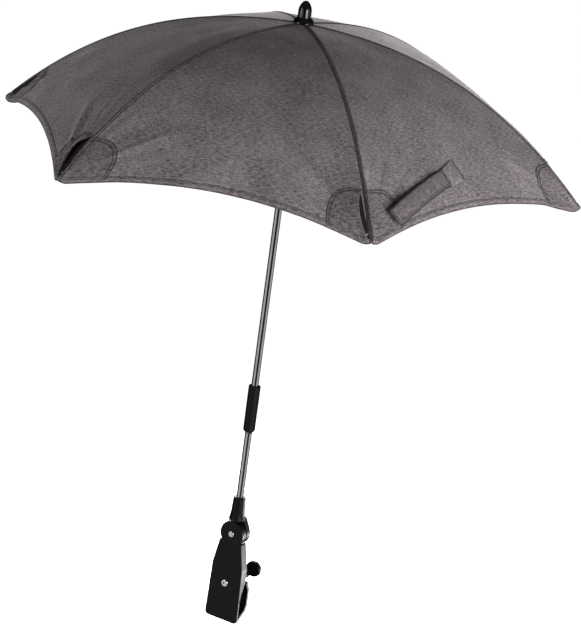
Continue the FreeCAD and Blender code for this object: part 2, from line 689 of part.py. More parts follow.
def tilt_washer():
    back = TILT_WASHER_Y + TILT_WASHER
    washer = rod_y(TILT_WASHER_RADIUS, TILT_WASHER_Y, back, 0, KNUCKLE_HEIGHT)
    return washer.cut(rod_y(TILT_SCREW_RADIUS, TILT_WASHER_Y, back, 0, KNUCKLE_HEIGHT))


def tilt_nut():
    y0 = TILT_WASHER_Y + TILT_WASHER
    nut = hexagon_y(TILT_NUT_FLATS, y0, y0 + TILT_NUT, 0, KNUCKLE_HEIGHT)
    return nut.cut(rod_y(TILT_SCREW_RADIUS, y0, y0 + TILT_NUT, 0, KNUCKLE_HEIGHT))


# Clamp


def rounded_outline(corners, y):
    """A closed wire in the plane y through (x, z, corner radius) corners."""
    edges = []
    count = len(corners)
    starts = []
    for i in range(count):
        x, z, radius = corners[i]
        here = vec(x, y, z)
        before = (vec(corners[i - 1][0], y, corners[i - 1][1]) - here).normalize()
        after_corner = corners[(i + 1) % count]
        after = (vec(after_corner[0], y, after_corner[1]) - here).normalize()
        half = before.getAngle(after) / 2
        cut = radius / math.tan(half)
        middle = here + (before + after).normalize() * (radius / math.sin(half) - radius)
        starts.append((here + before * cut, middle, here + after * cut, radius))
    for i in range(count):
        first, middle, last, radius = starts[i]
        if radius > 0:
            edges.append(Part.Arc(first, middle, last).toShape())
        edges.append(Part.makeLine(last, starts[(i + 1) % count][0]))
    return Part.Wire(edges)


SHOULDER_Z = KNUCKLE_HEIGHT - SHOULDER_DROP
WAIST_Z = KNUCKLE_HEIGHT - WAIST_DROP
BODY_BACK_Y = FRONT_Y + BODY_DEPTH
TAPER_TOP_Z = BOLT_HEIGHT + BOLT_HEAD_RADIUS
TAPER_LOW_Z = SEAT_RADIUS / 2
CHANNEL_HALF = JAW_HALF_WIDTH + JAW_SIDE_GAP
CHANNEL_TOP_Z = JAW_PIN_HEIGHT + 2 * JAW_EYE_RADIUS


def clamp_body():
    """The front jaw: a waisted plate with a hollow back and the front ear of the knuckle."""
    outline = rounded_outline(
        [
            (-SHOULDER_HALF_WIDTH, SHOULDER_Z, SHOULDER_CORNER),
            (SHOULDER_HALF_WIDTH, SHOULDER_Z, SHOULDER_CORNER),
            (WAIST_HALF_WIDTH, WAIST_Z, FOOT_CORNER),
            (FOOT_HALF_WIDTH, -PLATE_BELOW_SEAT, FOOT_CORNER),
            (-FOOT_HALF_WIDTH, -PLATE_BELOW_SEAT, FOOT_CORNER),
            (-WAIST_HALF_WIDTH, WAIST_Z, FOOT_CORNER),
        ],
        FRONT_Y,
    )
    plate = Part.Face(outline).extrude(vec(0, BODY_DEPTH, 0))
    front = [edge for edge in plate.Edges if edge.BoundBox.YMax < FRONT_Y + FACE_GAP]
    plate = plate.makeFillet(BODY_EDGE, front)
    reach = 2 * FOOT_HALF_WIDTH
    behind = slab(
        [
            vec(0, BODY_BACK_Y + OVERCUT, TAPER_TOP_Z + OVERCUT),
            vec(0, BODY_BACK_Y, TAPER_TOP_Z),
            vec(0, PLATE_BACK_Y + (BODY_BACK_Y - PLATE_BACK_Y) / 4, (TAPER_TOP_Z + 2 * TAPER_LOW_Z) / 3),
            vec(0, PLATE_BACK_Y, TAPER_LOW_Z),
            vec(0, PLATE_BACK_Y, -2 * PLATE_BELOW_SEAT),
            vec(0, BODY_BACK_Y + OVERCUT, -2 * PLATE_BELOW_SEAT),
        ],
        vec(-reach, 0, 0),
        vec(2 * reach, 0, 0),
    )
    behind_y = BODY_BACK_Y + OVERCUT
    channel = block(-CHANNEL_HALF, CHANNEL_HALF, PLATE_BACK_Y, behind_y, TAPER_LOW_Z, CHANNEL_TOP_Z)
    swing = rod_y(KNUCKLE_RADIUS + EAR_GROOVE, EAR_BACK_Y, BODY_BACK_Y + OVERCUT, 0, KNUCKLE_HEIGHT)
    groove = rod_y(KNUCKLE_RADIUS + EAR_GROOVE, FRONT_Y - OVERCUT, FRONT_Y + EAR_GROOVE, 0, KNUCKLE_HEIGHT)
    plate = plate.cut([behind, channel, swing, groove])
    ear = rod_y(KNUCKLE_RADIUS, FRONT_Y, EAR_BACK_Y, 0, KNUCKLE_HEIGHT)
    rim = [edge for edge in ear.Edges if edge.BoundBox.YMax < FRONT_Y + FACE_GAP]
    solid = plate.fuse(ear.makeFillet(BODY_EDGE, rim))
    pin = rod_x(JAW_PIN_RADIUS, -JAW_PIN_HEAD, JAW_PIN_HEAD, JAW_PIN_Y, JAW_PIN_HEIGHT)
    bolt = rod_y(BOLT_RADIUS, FRONT_Y - OVERCUT, BODY_BACK_Y, 0, BOLT_HEIGHT)
    screw = rod_y(TILT_SCREW_RADIUS, FRONT_Y - OVERCUT, EAR_BACK_Y, 0, KNUCKLE_HEIGHT)
    return solid.cut([pin, bolt, screw])


def seat_pad(direction):
    """A rubber pad whose hollow fits the tube."""
    base = SEAT_RADIUS + PAD_BASE
    lip = SEAT_RADIUS * math.sqrt(1 - (PAD_HALF_HEIGHT / SEAT_RADIUS) ** 2) - PAD_LIP
    y0, y1 = sorted((direction * lip, direction * base))
    pad = block(-SEAT_LENGTH / 2, SEAT_LENGTH / 2, y0, y1, -PAD_HALF_HEIGHT, PAD_HALF_HEIGHT)
    return pad.cut(rod_x(SEAT_RADIUS, -SEAT_LENGTH, SEAT_LENGTH, 0, 0))


JAW_BACK_Y = SEAT_RADIUS + PAD_BASE + JAW_THICKNESS / 2
JAW_PATH = [
    (JAW_PIN_Y, JAW_PIN_HEIGHT),
    (JAW_PIN_Y + JAW_EYE_RADIUS + JAW_THICKNESS, (JAW_PIN_HEIGHT + BOLT_HEIGHT) / 2),
    (BOSS_FACE - BOSS_SETBACK, BOLT_HEIGHT),
    (JAW_BACK_Y, SEAT_RADIUS + JAW_THICKNESS / 2),
    (JAW_BACK_Y, -SEAT_RADIUS),
    (SEAT_RADIUS, -SEAT_RADIUS - 2 * JAW_THICKNESS),
    (PLATE_BACK_Y + JAW_TIP_GAP + JAW_THICKNESS / 2, -PLATE_BELOW_SEAT + JAW_THICKNESS / 2),
]


def rear_jaw():
    """The hooked rear jaw: a bent plate with a hinge eye, a slotted boss for the bolt and a wider foot."""
    eye_half = JAW_HALF_WIDTH
    solid = rod_x(JAW_EYE_RADIUS, -eye_half, eye_half, JAW_PIN_Y, JAW_PIN_HEIGHT)
    pieces = []
    for (y0, z0), (y1, z1) in zip(JAW_PATH, JAW_PATH[1:]):
        along = vec(0, y1 - y0, z1 - z0).normalize()
        out = vec(0, -along.z, along.y) * (JAW_THICKNESS / 2)
        half = JAW_HALF_WIDTH if z0 > BOLT_HEIGHT else JAW_FOOT_HALF_WIDTH
        a = vec(-half, y0, z0)
        b = vec(-half, y1, z1)
        pieces.append(slab([a - out, b - out, b + out, a + out], vec(0, 0, 0), vec(2 * half, 0, 0)))
        pieces.append(rod_x(JAW_THICKNESS / 2, -half, half, y1, z1))
    pieces.append(rod_y(BOSS_RADIUS, BOSS_FACE - BOSS_SETBACK, BOSS_FACE, 0, BOLT_HEIGHT))
    solid = solid.fuse(pieces).removeSplitter()
    slot_half = BOLT_RADIUS + BOLT_CLEARANCE
    far = 4 * BOSS_FACE
    slot = rod_y(slot_half, -far, far, 0, BOLT_HEIGHT)
    slot = slot.fuse(rod_y(slot_half, -far, far, 0, BOLT_HEIGHT - JAW_SLOT))
    slot = slot.fuse(block(-slot_half, slot_half, -far, far, BOLT_HEIGHT - JAW_SLOT, BOLT_HEIGHT))
    eye_hole = rod_x(JAW_PIN_RADIUS + PIN_CLEARANCE, -eye_half, eye_half, JAW_PIN_Y, JAW_PIN_HEIGHT)
    return solid.cut([slot, eye_hole])


WASHER_Y = BOSS_FACE + FACE_GAP
WING_Y = WASHER_Y + WASHER_THICKNESS + FACE_GAP
PADDLE_Y = WING_Y + WING_HUB_LENGTH


def clamp_bolt():
    """A round-headed bolt with a hexagon socket."""
    end = PADDLE_Y + WING_THICKNESS + BOLT_TAIL
    head = rod_y(BOLT_HEAD_RADIUS, FRONT_Y - BOLT_HEAD, FRONT_Y, 0, BOLT_HEIGHT)
    rim = [edge for edge in head.Edges if edge.BoundBox.YMax < FRONT_Y - BOLT_HEAD / 2]
    head = head.makeFillet(BOLT_HEAD_ROUND, rim)
    bolt = head.fuse(rod_y(BOLT_RADIUS, FRONT_Y, end, 0, BOLT_HEIGHT))
    face = FRONT_Y - BOLT_HEAD
    return bolt.cut(hexagon_y(BOLT_SOCKET_FLATS, face - OVERCUT, face + BOLT_SOCKET, 0, BOLT_HEIGHT))


def thrust_washer():
    back = WASHER_Y + WASHER_THICKNESS
    washer = rod_y(WASHER_RADIUS, WASHER_Y, back, 0, BOLT_HEIGHT)
    return washer.cut(rod_y(BOLT_RADIUS + PIN_CLEARANCE, WASHER_Y, back, 0, BOLT_HEIGHT))


def wing_nut():
    nut = hexagon_y(NUT_FLATS, WING_Y, WING_Y + NUT_HEIGHT, 0, BOLT_HEIGHT)
    return nut.cut(rod_y(BOLT_RADIUS + PIN_CLEARANCE, WING_Y, WING_Y + NUT_HEIGHT, 0, BOLT_HEIGHT))


def wing_knob():
    """A two-armed knob on a long hub, moulded round the nut."""
    back = PADDLE_Y + WING_THICKNESS
    hub = rod_y(WING_HUB_RADIUS, WING_Y, back, 0, BOLT_HEIGHT)
    low = BOLT_HEIGHT - WING_WAIST
    paddle = block(-WING_REACH, WING_REACH, PADDLE_Y, back, low, BOLT_HEIGHT + WING_WAIST)
    lobes = [rod_y(WING_LOBE_RADIUS, PADDLE_Y, back, side * WING_REACH, BOLT_HEIGHT) for side in (-1, 1)]
    paddle = paddle.fuse(lobes).removeSplitter()
    flat = [edge for edge in paddle.Edges if edge.BoundBox.YLength < FACE_GAP]
    paddle = paddle.makeFillet(WING_EDGE, flat)
    knob = paddle.fuse(hub)
    knob = knob.cut(rod_y(BOLT_RADIUS + BOLT_CLEARANCE, WING_Y, back, 0, BOLT_HEIGHT))
    knob = knob.cut(hexagon_y(NUT_FLATS, WING_Y, WING_Y + NUT_HEIGHT, 0, BOLT_HEIGHT))
    knob.rotate(vec(0, 0, BOLT_HEIGHT), vec(0, 1, 0), -WING_TURN)
    return knob


# The pieces

keep("clamp_body", clamp_body())
keep("front_pad", seat_pad(-1))
keep("jaw_pin", rod_x(JAW_PIN_RADIUS, -JAW_PIN_HEAD, JAW_PIN_HEAD, JAW_PIN_Y, JAW_PIN_HEIGHT))
keep("clamp_bolt", clamp_bolt())
keep("friction_disc", friction_disc())
keep("tilt_screw", tilt_screw())
keep("tilt_washer", tilt_washer())
keep("tilt_nut", tilt_nut())
keep("rear_jaw", rear_jaw())
keep("rear_pad", seat_pad(1))
keep("thrust_washer", thrust_washer())
nut = wing_nut()
nut.rotate(vec(0, 0, BOLT_HEIGHT), vec(0, 1, 0), -WING_TURN)
keep("wing_knob", wing_knob())
keep("wing_nut", nut)
keep("tilt_head", tilt_head())
keep("socket_screw", socket_screw())
keep("lower_tube", on_shaft(tube(LOWER_TUBE_Z, LOWER_TUBE_TOP_Z)))
keep("bend_tongue", on_shaft(bend_tongue()))
keep("bend_sleeve", on_shaft(bend_sleeve()))
keep("bend_pin", on_shaft(bend_pin()))
keep("upper_tube", on_shaft(upper_tube()))
keep("top_plug", on_shaft(top_plug()))
keep("crown", on_shaft(crown()))
keep("crown_wire", on_shaft(hinge_wire(CROWN_HINGE_Z, WIRE_RADIUS)))
keep("finial", on_shaft(finial()))
keep("spring_catch", on_shaft(spring_catch(), CATCH_AZIMUTH))
keep("runner", on_shaft(runner()))
keep("runner_wire", on_shaft(hinge_wire(RUNNER_Z, WIRE_RADIUS)))

one_rib = rib()
one_cap = tip_cap()
one_cap = one_cap.cut(one_rib)
bar, rivet = stretcher()
left_half = half_gore(1)
right_half = half_gore(-1)
for i in range(RIB_COUNT):
    azimuth = FIRST_RIB_AZIMUTH + i * RIB_STEP
    keep(f"rib_{i + 1}", on_shaft(one_rib, azimuth))
    keep(f"tip_cap_{i + 1}", on_shaft(one_cap, azimuth))
    keep(f"stretcher_{i + 1}", on_shaft(bar, azimuth), on_shaft(rivet, azimuth))
    keep(f"gore_{i + 1}_left", on_shaft(left_half, azimuth))
    keep(f"gore_{i + 1}_right", on_shaft(right_half, azimuth))
keep("tie_strap", on_shaft(tie_strap(1), FIRST_RIB_AZIMUTH - RIB_STEP))

os.makedirs("parts", exist_ok=True)
for name, shape in shapes.items():
    shape.exportStep(f"parts/{name}.step")
    box = shape.BoundBox
    size = f"{box.XLength:.1f} x {box.YLength:.1f} x {box.ZLength:.1f} mm"
    print(f"{name}: {len(shape.Solids)} solids, valid {shape.isValid()}, {shape.Volume:.0f} mm3, {size}")
print(f"{len(shapes)} nodes; shaft at y {SHAFT_Y:.2f}, runner hinge at z {RUNNER_Z:.2f}")
print(f"stretchers {LINK_LENGTH:.2f} long between hinges, the same as crown hinge to lug")
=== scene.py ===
# %% [markdown]
# # A pram parasol
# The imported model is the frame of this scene: its hard pieces are in place already, and each one
# rides on the body that moves it. What is left is their finish and the soft goods, so this lesson
# makes the materials first and then sews a canopy over the ribs. Lengths are metres in the
# model's own frame, so nothing has to be fitted by eye.

# %% Load the frame
import functools
import json
import math

import bmesh
import bpy
from mathutils import Matrix, Vector, noise


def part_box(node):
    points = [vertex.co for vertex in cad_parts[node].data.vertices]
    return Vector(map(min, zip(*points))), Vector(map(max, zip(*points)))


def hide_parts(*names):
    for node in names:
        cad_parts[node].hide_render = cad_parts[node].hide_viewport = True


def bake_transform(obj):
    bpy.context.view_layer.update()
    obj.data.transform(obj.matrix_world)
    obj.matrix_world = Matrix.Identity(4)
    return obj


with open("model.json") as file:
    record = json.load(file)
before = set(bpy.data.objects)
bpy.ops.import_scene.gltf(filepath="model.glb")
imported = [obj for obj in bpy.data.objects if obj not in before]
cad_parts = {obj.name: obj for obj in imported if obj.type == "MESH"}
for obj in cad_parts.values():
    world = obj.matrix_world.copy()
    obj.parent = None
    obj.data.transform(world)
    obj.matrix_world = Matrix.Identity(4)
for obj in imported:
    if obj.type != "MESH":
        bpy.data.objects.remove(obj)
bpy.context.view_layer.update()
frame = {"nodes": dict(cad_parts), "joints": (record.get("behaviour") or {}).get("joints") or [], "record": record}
nodes = frame["nodes"]

# %% Find the canopy in the frame
tube_low, tube_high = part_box("upper_tube")
APEX = Vector((0, (tube_low.y + tube_high.y) / 2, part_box("gore_1_left")[1].z))
fold_axis = next(joint["axis"] for joint in frame["joints"] if joint["name"] == "canopy_fold")
FIRST_RIB = math.atan2(-fold_axis[0], fold_axis[1])
RIBS = range(1, 7)
SIDES = {"left": 1, "right": -1}


def rib_place(number):
    """From a rib's own axes (x outwards, y to its left, z up from the apex) to the model's."""
    turn = FIRST_RIB + (number - 1) * math.tau / len(RIBS)
    return Matrix.Translation(APEX) @ Matrix.Rotation(turn, 4, "Z")


print("Apex:", [round(v, 4) for v in APEX], "first rib at", round(math.degrees(FIRST_RIB), 1), "degrees")

# %% [markdown]
# ## Materials
# A finish can be painted on images, or worked out by shader nodes. Nodes are used here: noise
# with a real scale stays sharp from every side and needs no file. One small function adds a
# node, and each finish is a short function that starts from what the real material is.


# %% Helpers for materials
def linear(hex_code):
    """An sRGB hex colour as the linear RGBA that shaders take."""
    channels = [int(hex_code[i : i + 2], 16) / 255 for i in (1, 3, 5)]
    return [c / 12.92 if c <= 0.04045 else ((c + 0.055) / 1.055) ** 2.4 for c in channels] + [1]


def add(tree, kind, inputs=None, **settings):
    """Adds a node with its settings. An input takes a plain value, or an output to link to it."""
    node = tree.nodes.new("ShaderNode" + kind)
    for name, setting in settings.items():
        setattr(node, name, setting)
    for name, value in (inputs or {}).items():
        if isinstance(value, bpy.types.NodeSocket):
            tree.links.new(value, node.inputs[name])
        else:
            node.inputs[name].default_value = value
    return node.outputs


def start_material(name):
    """A material with no nodes yet, and add() with the material's tree already given."""
    made = bpy.data.materials.new(name)
    made.use_nodes = True
    made.node_tree.nodes.clear()
    return made, functools.partial(add, made.node_tree)


print("A mid grey of #808080 is", round(linear("#808080")[0], 3), "in linear light")

# %% [markdown]
# ### Cloth
# The canopy is a melange: a plain weave of polyester yarns spun from two greys. It shows short
# streaks across each panel, and its fuzz looks paler where it is seen edge on, which sheen gives.
# The streaks follow the cut of a panel, so every cloth piece has a UV map in metres, "cut". A second map, "sewn",
# holds the distances from the rib seam and from the piece's edge, so that dark lines of painted shade along the
# needlework are drawn where the needle went.

# %% Melange cloth
# A row of stitches runs this far beside the seam on each rib.
SEAM_LINE = 0.0021


def cloth_material(name, dark, light, stitch_line, edge_shade_width):
    """Woven polyester melange: matt and streaky, with dark lines of painted shade at seams, edges and stitch rows.
    """
    made, node = start_material(name)
    cut = node("UVMap", uv_map="cut")[0]
    sewn = node("SeparateXYZ", {0: node("UVMap", uv_map="sewn")[0]})
    # Streaks are 6 by 1.3 mm in the weft and 5 by 1.2 mm in the warp, with clouds of 45 mm. Yarns
    # are really 0.4 mm thick, and are drawn this coarse so that they show.
    noises = []
    for thick, stretch in ((0.0013, (0.21, 1, 1)), (0.0012, (1, 0.24, 1)), (0.045, (1, 1, 1))):
        where = node("Mapping", {"Vector": cut, "Scale": stretch})[0]
        noises.append(node("TexNoise", {"Vector": where, "Scale": 1 / thick, "Detail": 2})[0])
    weft, warp, clouds = noises
    mixed = node("Math", {0: warp, 1: 0.36, 2: 0.0}, operation="MULTIPLY_ADD")[0]
    mixed = node("Math", {0: weft, 1: 0.64, 2: mixed}, operation="MULTIPLY_ADD")[0]
    mixed = node("Math", {0: clouds, 1: 0.22, 2: mixed}, operation="MULTIPLY_ADD")[0]
    yarn = node("MapRange", {0: mixed, 1: 0.42, 2: 0.80})[0]
    tone = node("Mix", {0: yarn, 6: linear(dark), 7: linear(light)}, data_type="RGBA")[2]
    # Painted shade: dark lines on and beside the rib seam, at the edge and under the row of stitches, where
    # grooves and folds lie in shade. They fade out 1 to 2.5 mm from their middles.
    lines = [(sewn[0], SEAM_LINE, 0.0012, 0.85), (sewn[0], 0.0, 0.0017, 0.8)]
    lines += [(sewn[1], 0.0, edge_shade_width, 0.8), (sewn[1], stitch_line, 0.0012, 0.5)]
    painted_shade = 0.0
    for distance, middle, wide, depth in lines:
        off = node("Math", {0: distance, 1: middle}, operation="SUBTRACT")[0]
        off = node("Math", {0: off}, operation="ABSOLUTE")[0]
        line = node("MapRange", {0: off, 1: 0.0003, 2: wide, 3: depth, 4: 0.0})[0]
        painted_shade = node("Math", {0: painted_shade, 1: line}, operation="MAXIMUM")[0]
    tone = node("Mix", {0: painted_shade, 6: tone, 7: linear("#171416")}, data_type="RGBA")[2]
    # Threads are about 0.4 mm apart, and are drawn 1.1 mm apart so that the weave shows.
    over = node("TexWave", {"Vector": cut, "Scale": 286}, bands_direction="X")["Fac"]
    under = node("TexWave", {"Vector": cut, "Scale": 286}, bands_direction="Y")["Fac"]
    weave = node("Math", {0: over, 1: under}, operation="MULTIPLY")[0]
    weave = node("Math", {0: weft, 1: 0.9, 2: weave}, operation="MULTIPLY_ADD")[0]
    bump = node("Bump", {"Strength": 0.4, "Distance": 0.0004, "Height": weave})[0]
    rough = node("MapRange", {0: weft, 1: 0.3, 2: 0.7, 3: 0.76, 4: 0.92})[0]
    look = {"Base Color": tone, "Roughness": rough, "Normal": bump, "Specular IOR Level": 0.15}
    # The sheen is taken off under the painted shade lines, so they stay dark where they are seen edge on.
    fuzz = node("MapRange", {0: painted_shade, 3: 0.30, 4: 0.0})[0]
    look |= {"Sheen Weight": fuzz, "Sheen Roughness": 0.4, "Sheen Tint": linear("#d9d3d5")}
    node("OutputMaterial", {"Surface": node("BsdfPrincipled", look)[0]})
    return made


# How far the rows of stitches lie from the edge of the hem, a patch and the strap.
HEM_STITCH, PATCH_STITCH, STRAP_STITCH = 0.0062, 0.0034, 0.0030
canopy_cloth = cloth_material("polyester melange, canopy", "#3b3537", "#a1999b", HEM_STITCH, 0.0014)
# The patch and strap cloths are the canopy's melange in darker tones, which paint the shade on the tilted patches
# and on the strap.
patch_cloth = cloth_material("polyester melange, corner patch", "#2f2a2c", "#8f8789", PATCH_STITCH, 0.0015)
strap_cloth = cloth_material("polyester melange, strap", "#322c2e", "#8a8284", STRAP_STITCH, 0.0024)
tab_cloth = cloth_material("polyester melange, tab", "#3d3739", "#a49c9e", STRAP_STITCH, 0.0024)
print("Cloths:", [made.name for made in (canopy_cloth, patch_cloth, strap_cloth, tab_cloth)])


# %% Sewing thread and the dark sheet of painted pocket shade
def thread_material(name, dark, light):
    """Twisted polyester thread: a slight gloss, and plies that catch the light in short strokes."""
    made, node = start_material(name)
    place = node("TexCoord")["Object"]
    # Plies are 0.2 mm, and are drawn 0.8 mm long so that they show.
    plies = node("TexNoise", {"Vector": place, "Scale": 1 / 0.0008, "Detail": 1})[0]
    tone = node("Mix", {0: plies, 6: linear(dark), 7: linear(light)}, data_type="RGBA")[2]
    bump = node("Bump", {"Strength": 0.4, "Distance": 0.0002, "Height": plies})[0]
    rough = node("MapRange", {0: plies, 1: 0.3, 2: 0.7, 3: 0.5, 4: 0.7})[0]
    look = {"Base Color": tone, "Roughness": rough, "Normal": bump}
    node("OutputMaterial", {"Surface": node("BsdfPrincipled", look)[0]})
    return made


def shade_sheet_material(name, dark, light):
    """A dark sheet in a pocket's mouth, coloured as painted shade: dull, with fine ribs."""
    made, node = start_material(name)
    cut = node("UVMap", uv_map="cut")[0]
    # The ribs are 1.2 mm apart.
    ribs = node("TexWave", {"Vector": cut, "Scale": 262, "Distortion": 1.5})["Fac"]
    tone = node("Mix", {0: ribs, 6: linear(dark), 7: linear(light)}, data_type="RGBA")[2]
    bump = node("Bump", {"Strength": 0.3, "Distance": 0.0003, "Height": ribs})[0]
    rough = node("MapRange", {0: ribs, 3: 0.8, 4: 0.95})[0]
    look = {"Base Color": tone, "Roughness": rough, "Normal": bump, "Specular IOR Level": 0.1}
    node("OutputMaterial", {"Surface": node("BsdfPrincipled", look)[0]})
    return made


dark_thread = thread_material("twisted polyester thread, black", "#0f0d0e", "#2a2628")
grey_thread = thread_material("twisted polyester thread, grey", "#6b6568", "#b5afb2")
# The pocket's sheet is near black: painted shade in the pocket's mouth.
pocket_shade_sheet = shade_sheet_material("dark sheet, painted pocket shade", "#1f1b1f", "#332d33")
print("Threads and pocket shade sheet:", dark_thread.name, grey_thread.name, pocket_shade_sheet.name)

# %% [markdown]
# ### Hard finishes
# The clamp, sleeve and hubs are injection-moulded black plastic, satin from the mould's spark erosion, and the
# finial is polished. The tube is chrome plate over drawn steel, and screws are nickel plated. A Bevel node rounds
# the look of each edge without changing the CAD mesh, and also gives a mask for pale edges on the plastic: partly
# the wear that edges get, partly a painted highlight where the rounded edges catch light.


# %% Plastic
def edges_of(node, radius):
    """A normal that is rounded along the edges of a piece, and a mask that is 1 on its edges."""
    rounded = node("Bevel", {"Radius": radius}, samples=6)[0]
    flat = node("NewGeometry")["Normal"]
    along = node("VectorMath", {0: rounded, 1: flat}, operation="DOT_PRODUCT")["Value"]
    return rounded, node("MapRange", {0: along, 1: 0.99, 2: 0.72})[0]


def plastic_material(name, dark, light, edge, rough, gloss, texture):
    """Moulded ABS: a fine texture from the mould, cloudy handling marks, scuffs, and paler edges that are partly
    wear and partly a painted highlight.
    """
    made, node = start_material(name)
    place = node("TexCoord")["Object"]
    # The mould's texture is 0.7 mm, handling marks are 14 mm, and scuffs 12 mm by 0.5 mm.
    fine = node("TexNoise", {"Vector": place, "Scale": 1 / 0.0007, "Detail": 2})[0]
    cloudy = node("TexNoise", {"Vector": place, "Scale": 1 / 0.014, "Detail": 3})[0]
    along_x = node("Mapping", {"Vector": place, "Scale": (0.04, 1, 0.3)})[0]
    scratches = node("TexNoise", {"Vector": along_x, "Scale": 1 / 0.0005, "Detail": 1})[0]
    scuffs = node("MapRange", {0: scratches, 1: 0.69, 2: 0.75, 3: 0.0, 4: 0.2})[0]
    rounded, on_edge = edges_of(node, 0.0006)
    # Pale edges: partly wear, partly a painted highlight along the rounded edges.
    edge_highlight_and_wear = node("Math", {0: on_edge, 1: 0.5, 2: scuffs}, operation="MULTIPLY_ADD")[0]
    tone = node("Mix", {0: cloudy, 6: linear(dark), 7: linear(light)}, data_type="RGBA")[2]
    tone = node("Mix", {0: edge_highlight_and_wear, 6: tone, 7: linear(edge)}, data_type="RGBA")[2]
    bump = node("Bump", {"Strength": texture, "Distance": 0.0002, "Height": fine, "Normal": rounded})[0]
    shine = node("MapRange", {0: cloudy, 1: 0.3, 2: 0.7, 3: rough, 4: rough + 0.12})[0]
    look = {"Base Color": tone, "Roughness": shine, "Normal": bump, "Specular IOR Level": gloss}
    node("OutputMaterial", {"Surface": node("BsdfPrincipled", look)[0]})
    return made


satin_black = plastic_material(
    "moulded ABS, satin black", "#070509", "#0d0a10", edge="#5b565d", rough=0.38, gloss=0.12, texture=0.15
)
gloss_black = plastic_material(
    "moulded ABS, polished black", "#070608", "#0d0b0e", edge="#2c2a2e", rough=0.09, gloss=0.5, texture=0.02
)
dull_grey = plastic_material(
    "moulded nylon, dull grey", "#262527", "#323133", edge="#555356", rough=0.5, gloss=0.4, texture=0.2
)
print("Plastics:", satin_black.name, gloss_black.name, dull_grey.name)


# %% Metal
def metal_material(name, colour, tint, rough, stretch, ripple):
    """Plated or bare metal: fine lines from drawing or turning along the stretch, and faint tarnish."""
    made, node = start_material(name)
    place = node("TexCoord")["Object"]
    # Lines are 0.4 mm wide, and tarnish comes in 20 mm clouds.
    drawn = node("Mapping", {"Vector": place, "Scale": stretch})[0]
    lines = node("TexNoise", {"Vector": drawn, "Scale": 1 / 0.0004, "Detail": 2})[0]
    clouds = node("TexNoise", {"Vector": place, "Scale": 1 / 0.02, "Detail": 3})[0]
    tarnish = node("MapRange", {0: clouds, 1: 0.4, 2: 0.75})[0]
    tone = node("Mix", {0: tarnish, 6: linear(colour), 7: linear(tint)}, data_type="RGBA")[2]
    rounded = edges_of(node, 0.0003)[0]
    bump = node("Bump", {"Strength": ripple, "Distance": 0.00005, "Height": lines, "Normal": rounded})[0]
    shine = node("MapRange", {0: clouds, 1: 0.3, 2: 0.8, 3: rough, 4: rough + 0.08})[0]
    shine = node("Math", {0: lines, 1: 0.05, 2: shine}, operation="MULTIPLY_ADD")[0]
    look = {"Base Color": tone, "Metallic": 1.0, "Roughness": shine, "Normal": bump}
    node("OutputMaterial", {"Surface": node("BsdfPrincipled", look)[0]})
    return made


ALONG_SHAFT, ALONG_BOLT, EVERY_WAY = (1, 1, 0.02), (1, 0.05, 1), (1, 1, 1)
chrome = metal_material("chrome plate on drawn steel", "#b7b6ba", "#a3a0a1", 0.05, ALONG_SHAFT, 0.03)
nickel = metal_material("nickel plated steel", "#cfcbc5", "#a89f95", 0.14, ALONG_BOLT, 0.10)
zinc = metal_material("die-cast zinc, dull", "#858487", "#6c6a6a", 0.40, EVERY_WAY, 0.10)
print("Metals:", chrome.name, nickel.name, zinc.name)


# %% Painted spring steel and rubber
def painted_material(name, paint, bare_metal):
    """Black enamel on spring steel: orange peel, and bare metal where the edges are rubbed."""
    made, node = start_material(name)
    place = node("TexCoord")["Object"]
    # Orange peel is 1.5 mm across, and rubbed spots are 6 mm.
    peel = node("TexNoise", {"Vector": place, "Scale": 1 / 0.0015, "Detail": 1})[0]
    spots = node("TexNoise", {"Vector": place, "Scale": 1 / 0.006, "Detail": 3})[0]
    rubbed = node("MapRange", {0: spots, 1: 0.48, 2: 0.6})[0]
    rounded, on_edge = edges_of(node, 0.0004)
    bare = node("Math", {0: rubbed, 1: on_edge}, operation="MULTIPLY")[0]
    tone = node("Mix", {0: bare, 6: linear(paint), 7: linear(bare_metal)}, data_type="RGBA")[2]
    bump = node("Bump", {"Strength": 0.12, "Distance": 0.0002, "Height": peel, "Normal": rounded})[0]
    shine = node("MapRange", {0: peel, 1: 0.3, 2: 0.7, 3: 0.3, 4: 0.42})[0]
    look = {"Base Color": tone, "Metallic": bare, "Roughness": shine, "Normal": bump}
    node("OutputMaterial", {"Surface": node("BsdfPrincipled", look)[0]})
    return made


def rubber_material(name, black, dusty):
    """Moulded soft rubber: dull, with grip ribs and a little dust in them."""
    made, node = start_material(name)
    place = node("TexCoord")["Object"]
    # Grip ribs are 2 mm apart along the tube, and dusty patches are 3 mm.
    ribs = node("TexWave", {"Vector": place, "Scale": 157}, bands_direction="X")["Fac"]
    specks = node("TexNoise", {"Vector": place, "Scale": 1 / 0.003, "Detail": 3})[0]
    dust = node("MapRange", {0: specks, 1: 0.5, 2: 0.8, 3: 0.0, 4: 0.4})[0]
    tone = node("Mix", {0: dust, 6: linear(black), 7: linear(dusty)}, data_type="RGBA")[2]
    bump = node("Bump", {"Strength": 0.6, "Distance": 0.0003, "Height": ribs})[0]
    dull = node("MapRange", {0: dust, 2: 0.4, 3: 0.7, 4: 0.92})[0]
    look = {"Base Color": tone, "Roughness": dull, "Normal": bump}
    node("OutputMaterial", {"Surface": node("BsdfPrincipled", look)[0]})
    return made


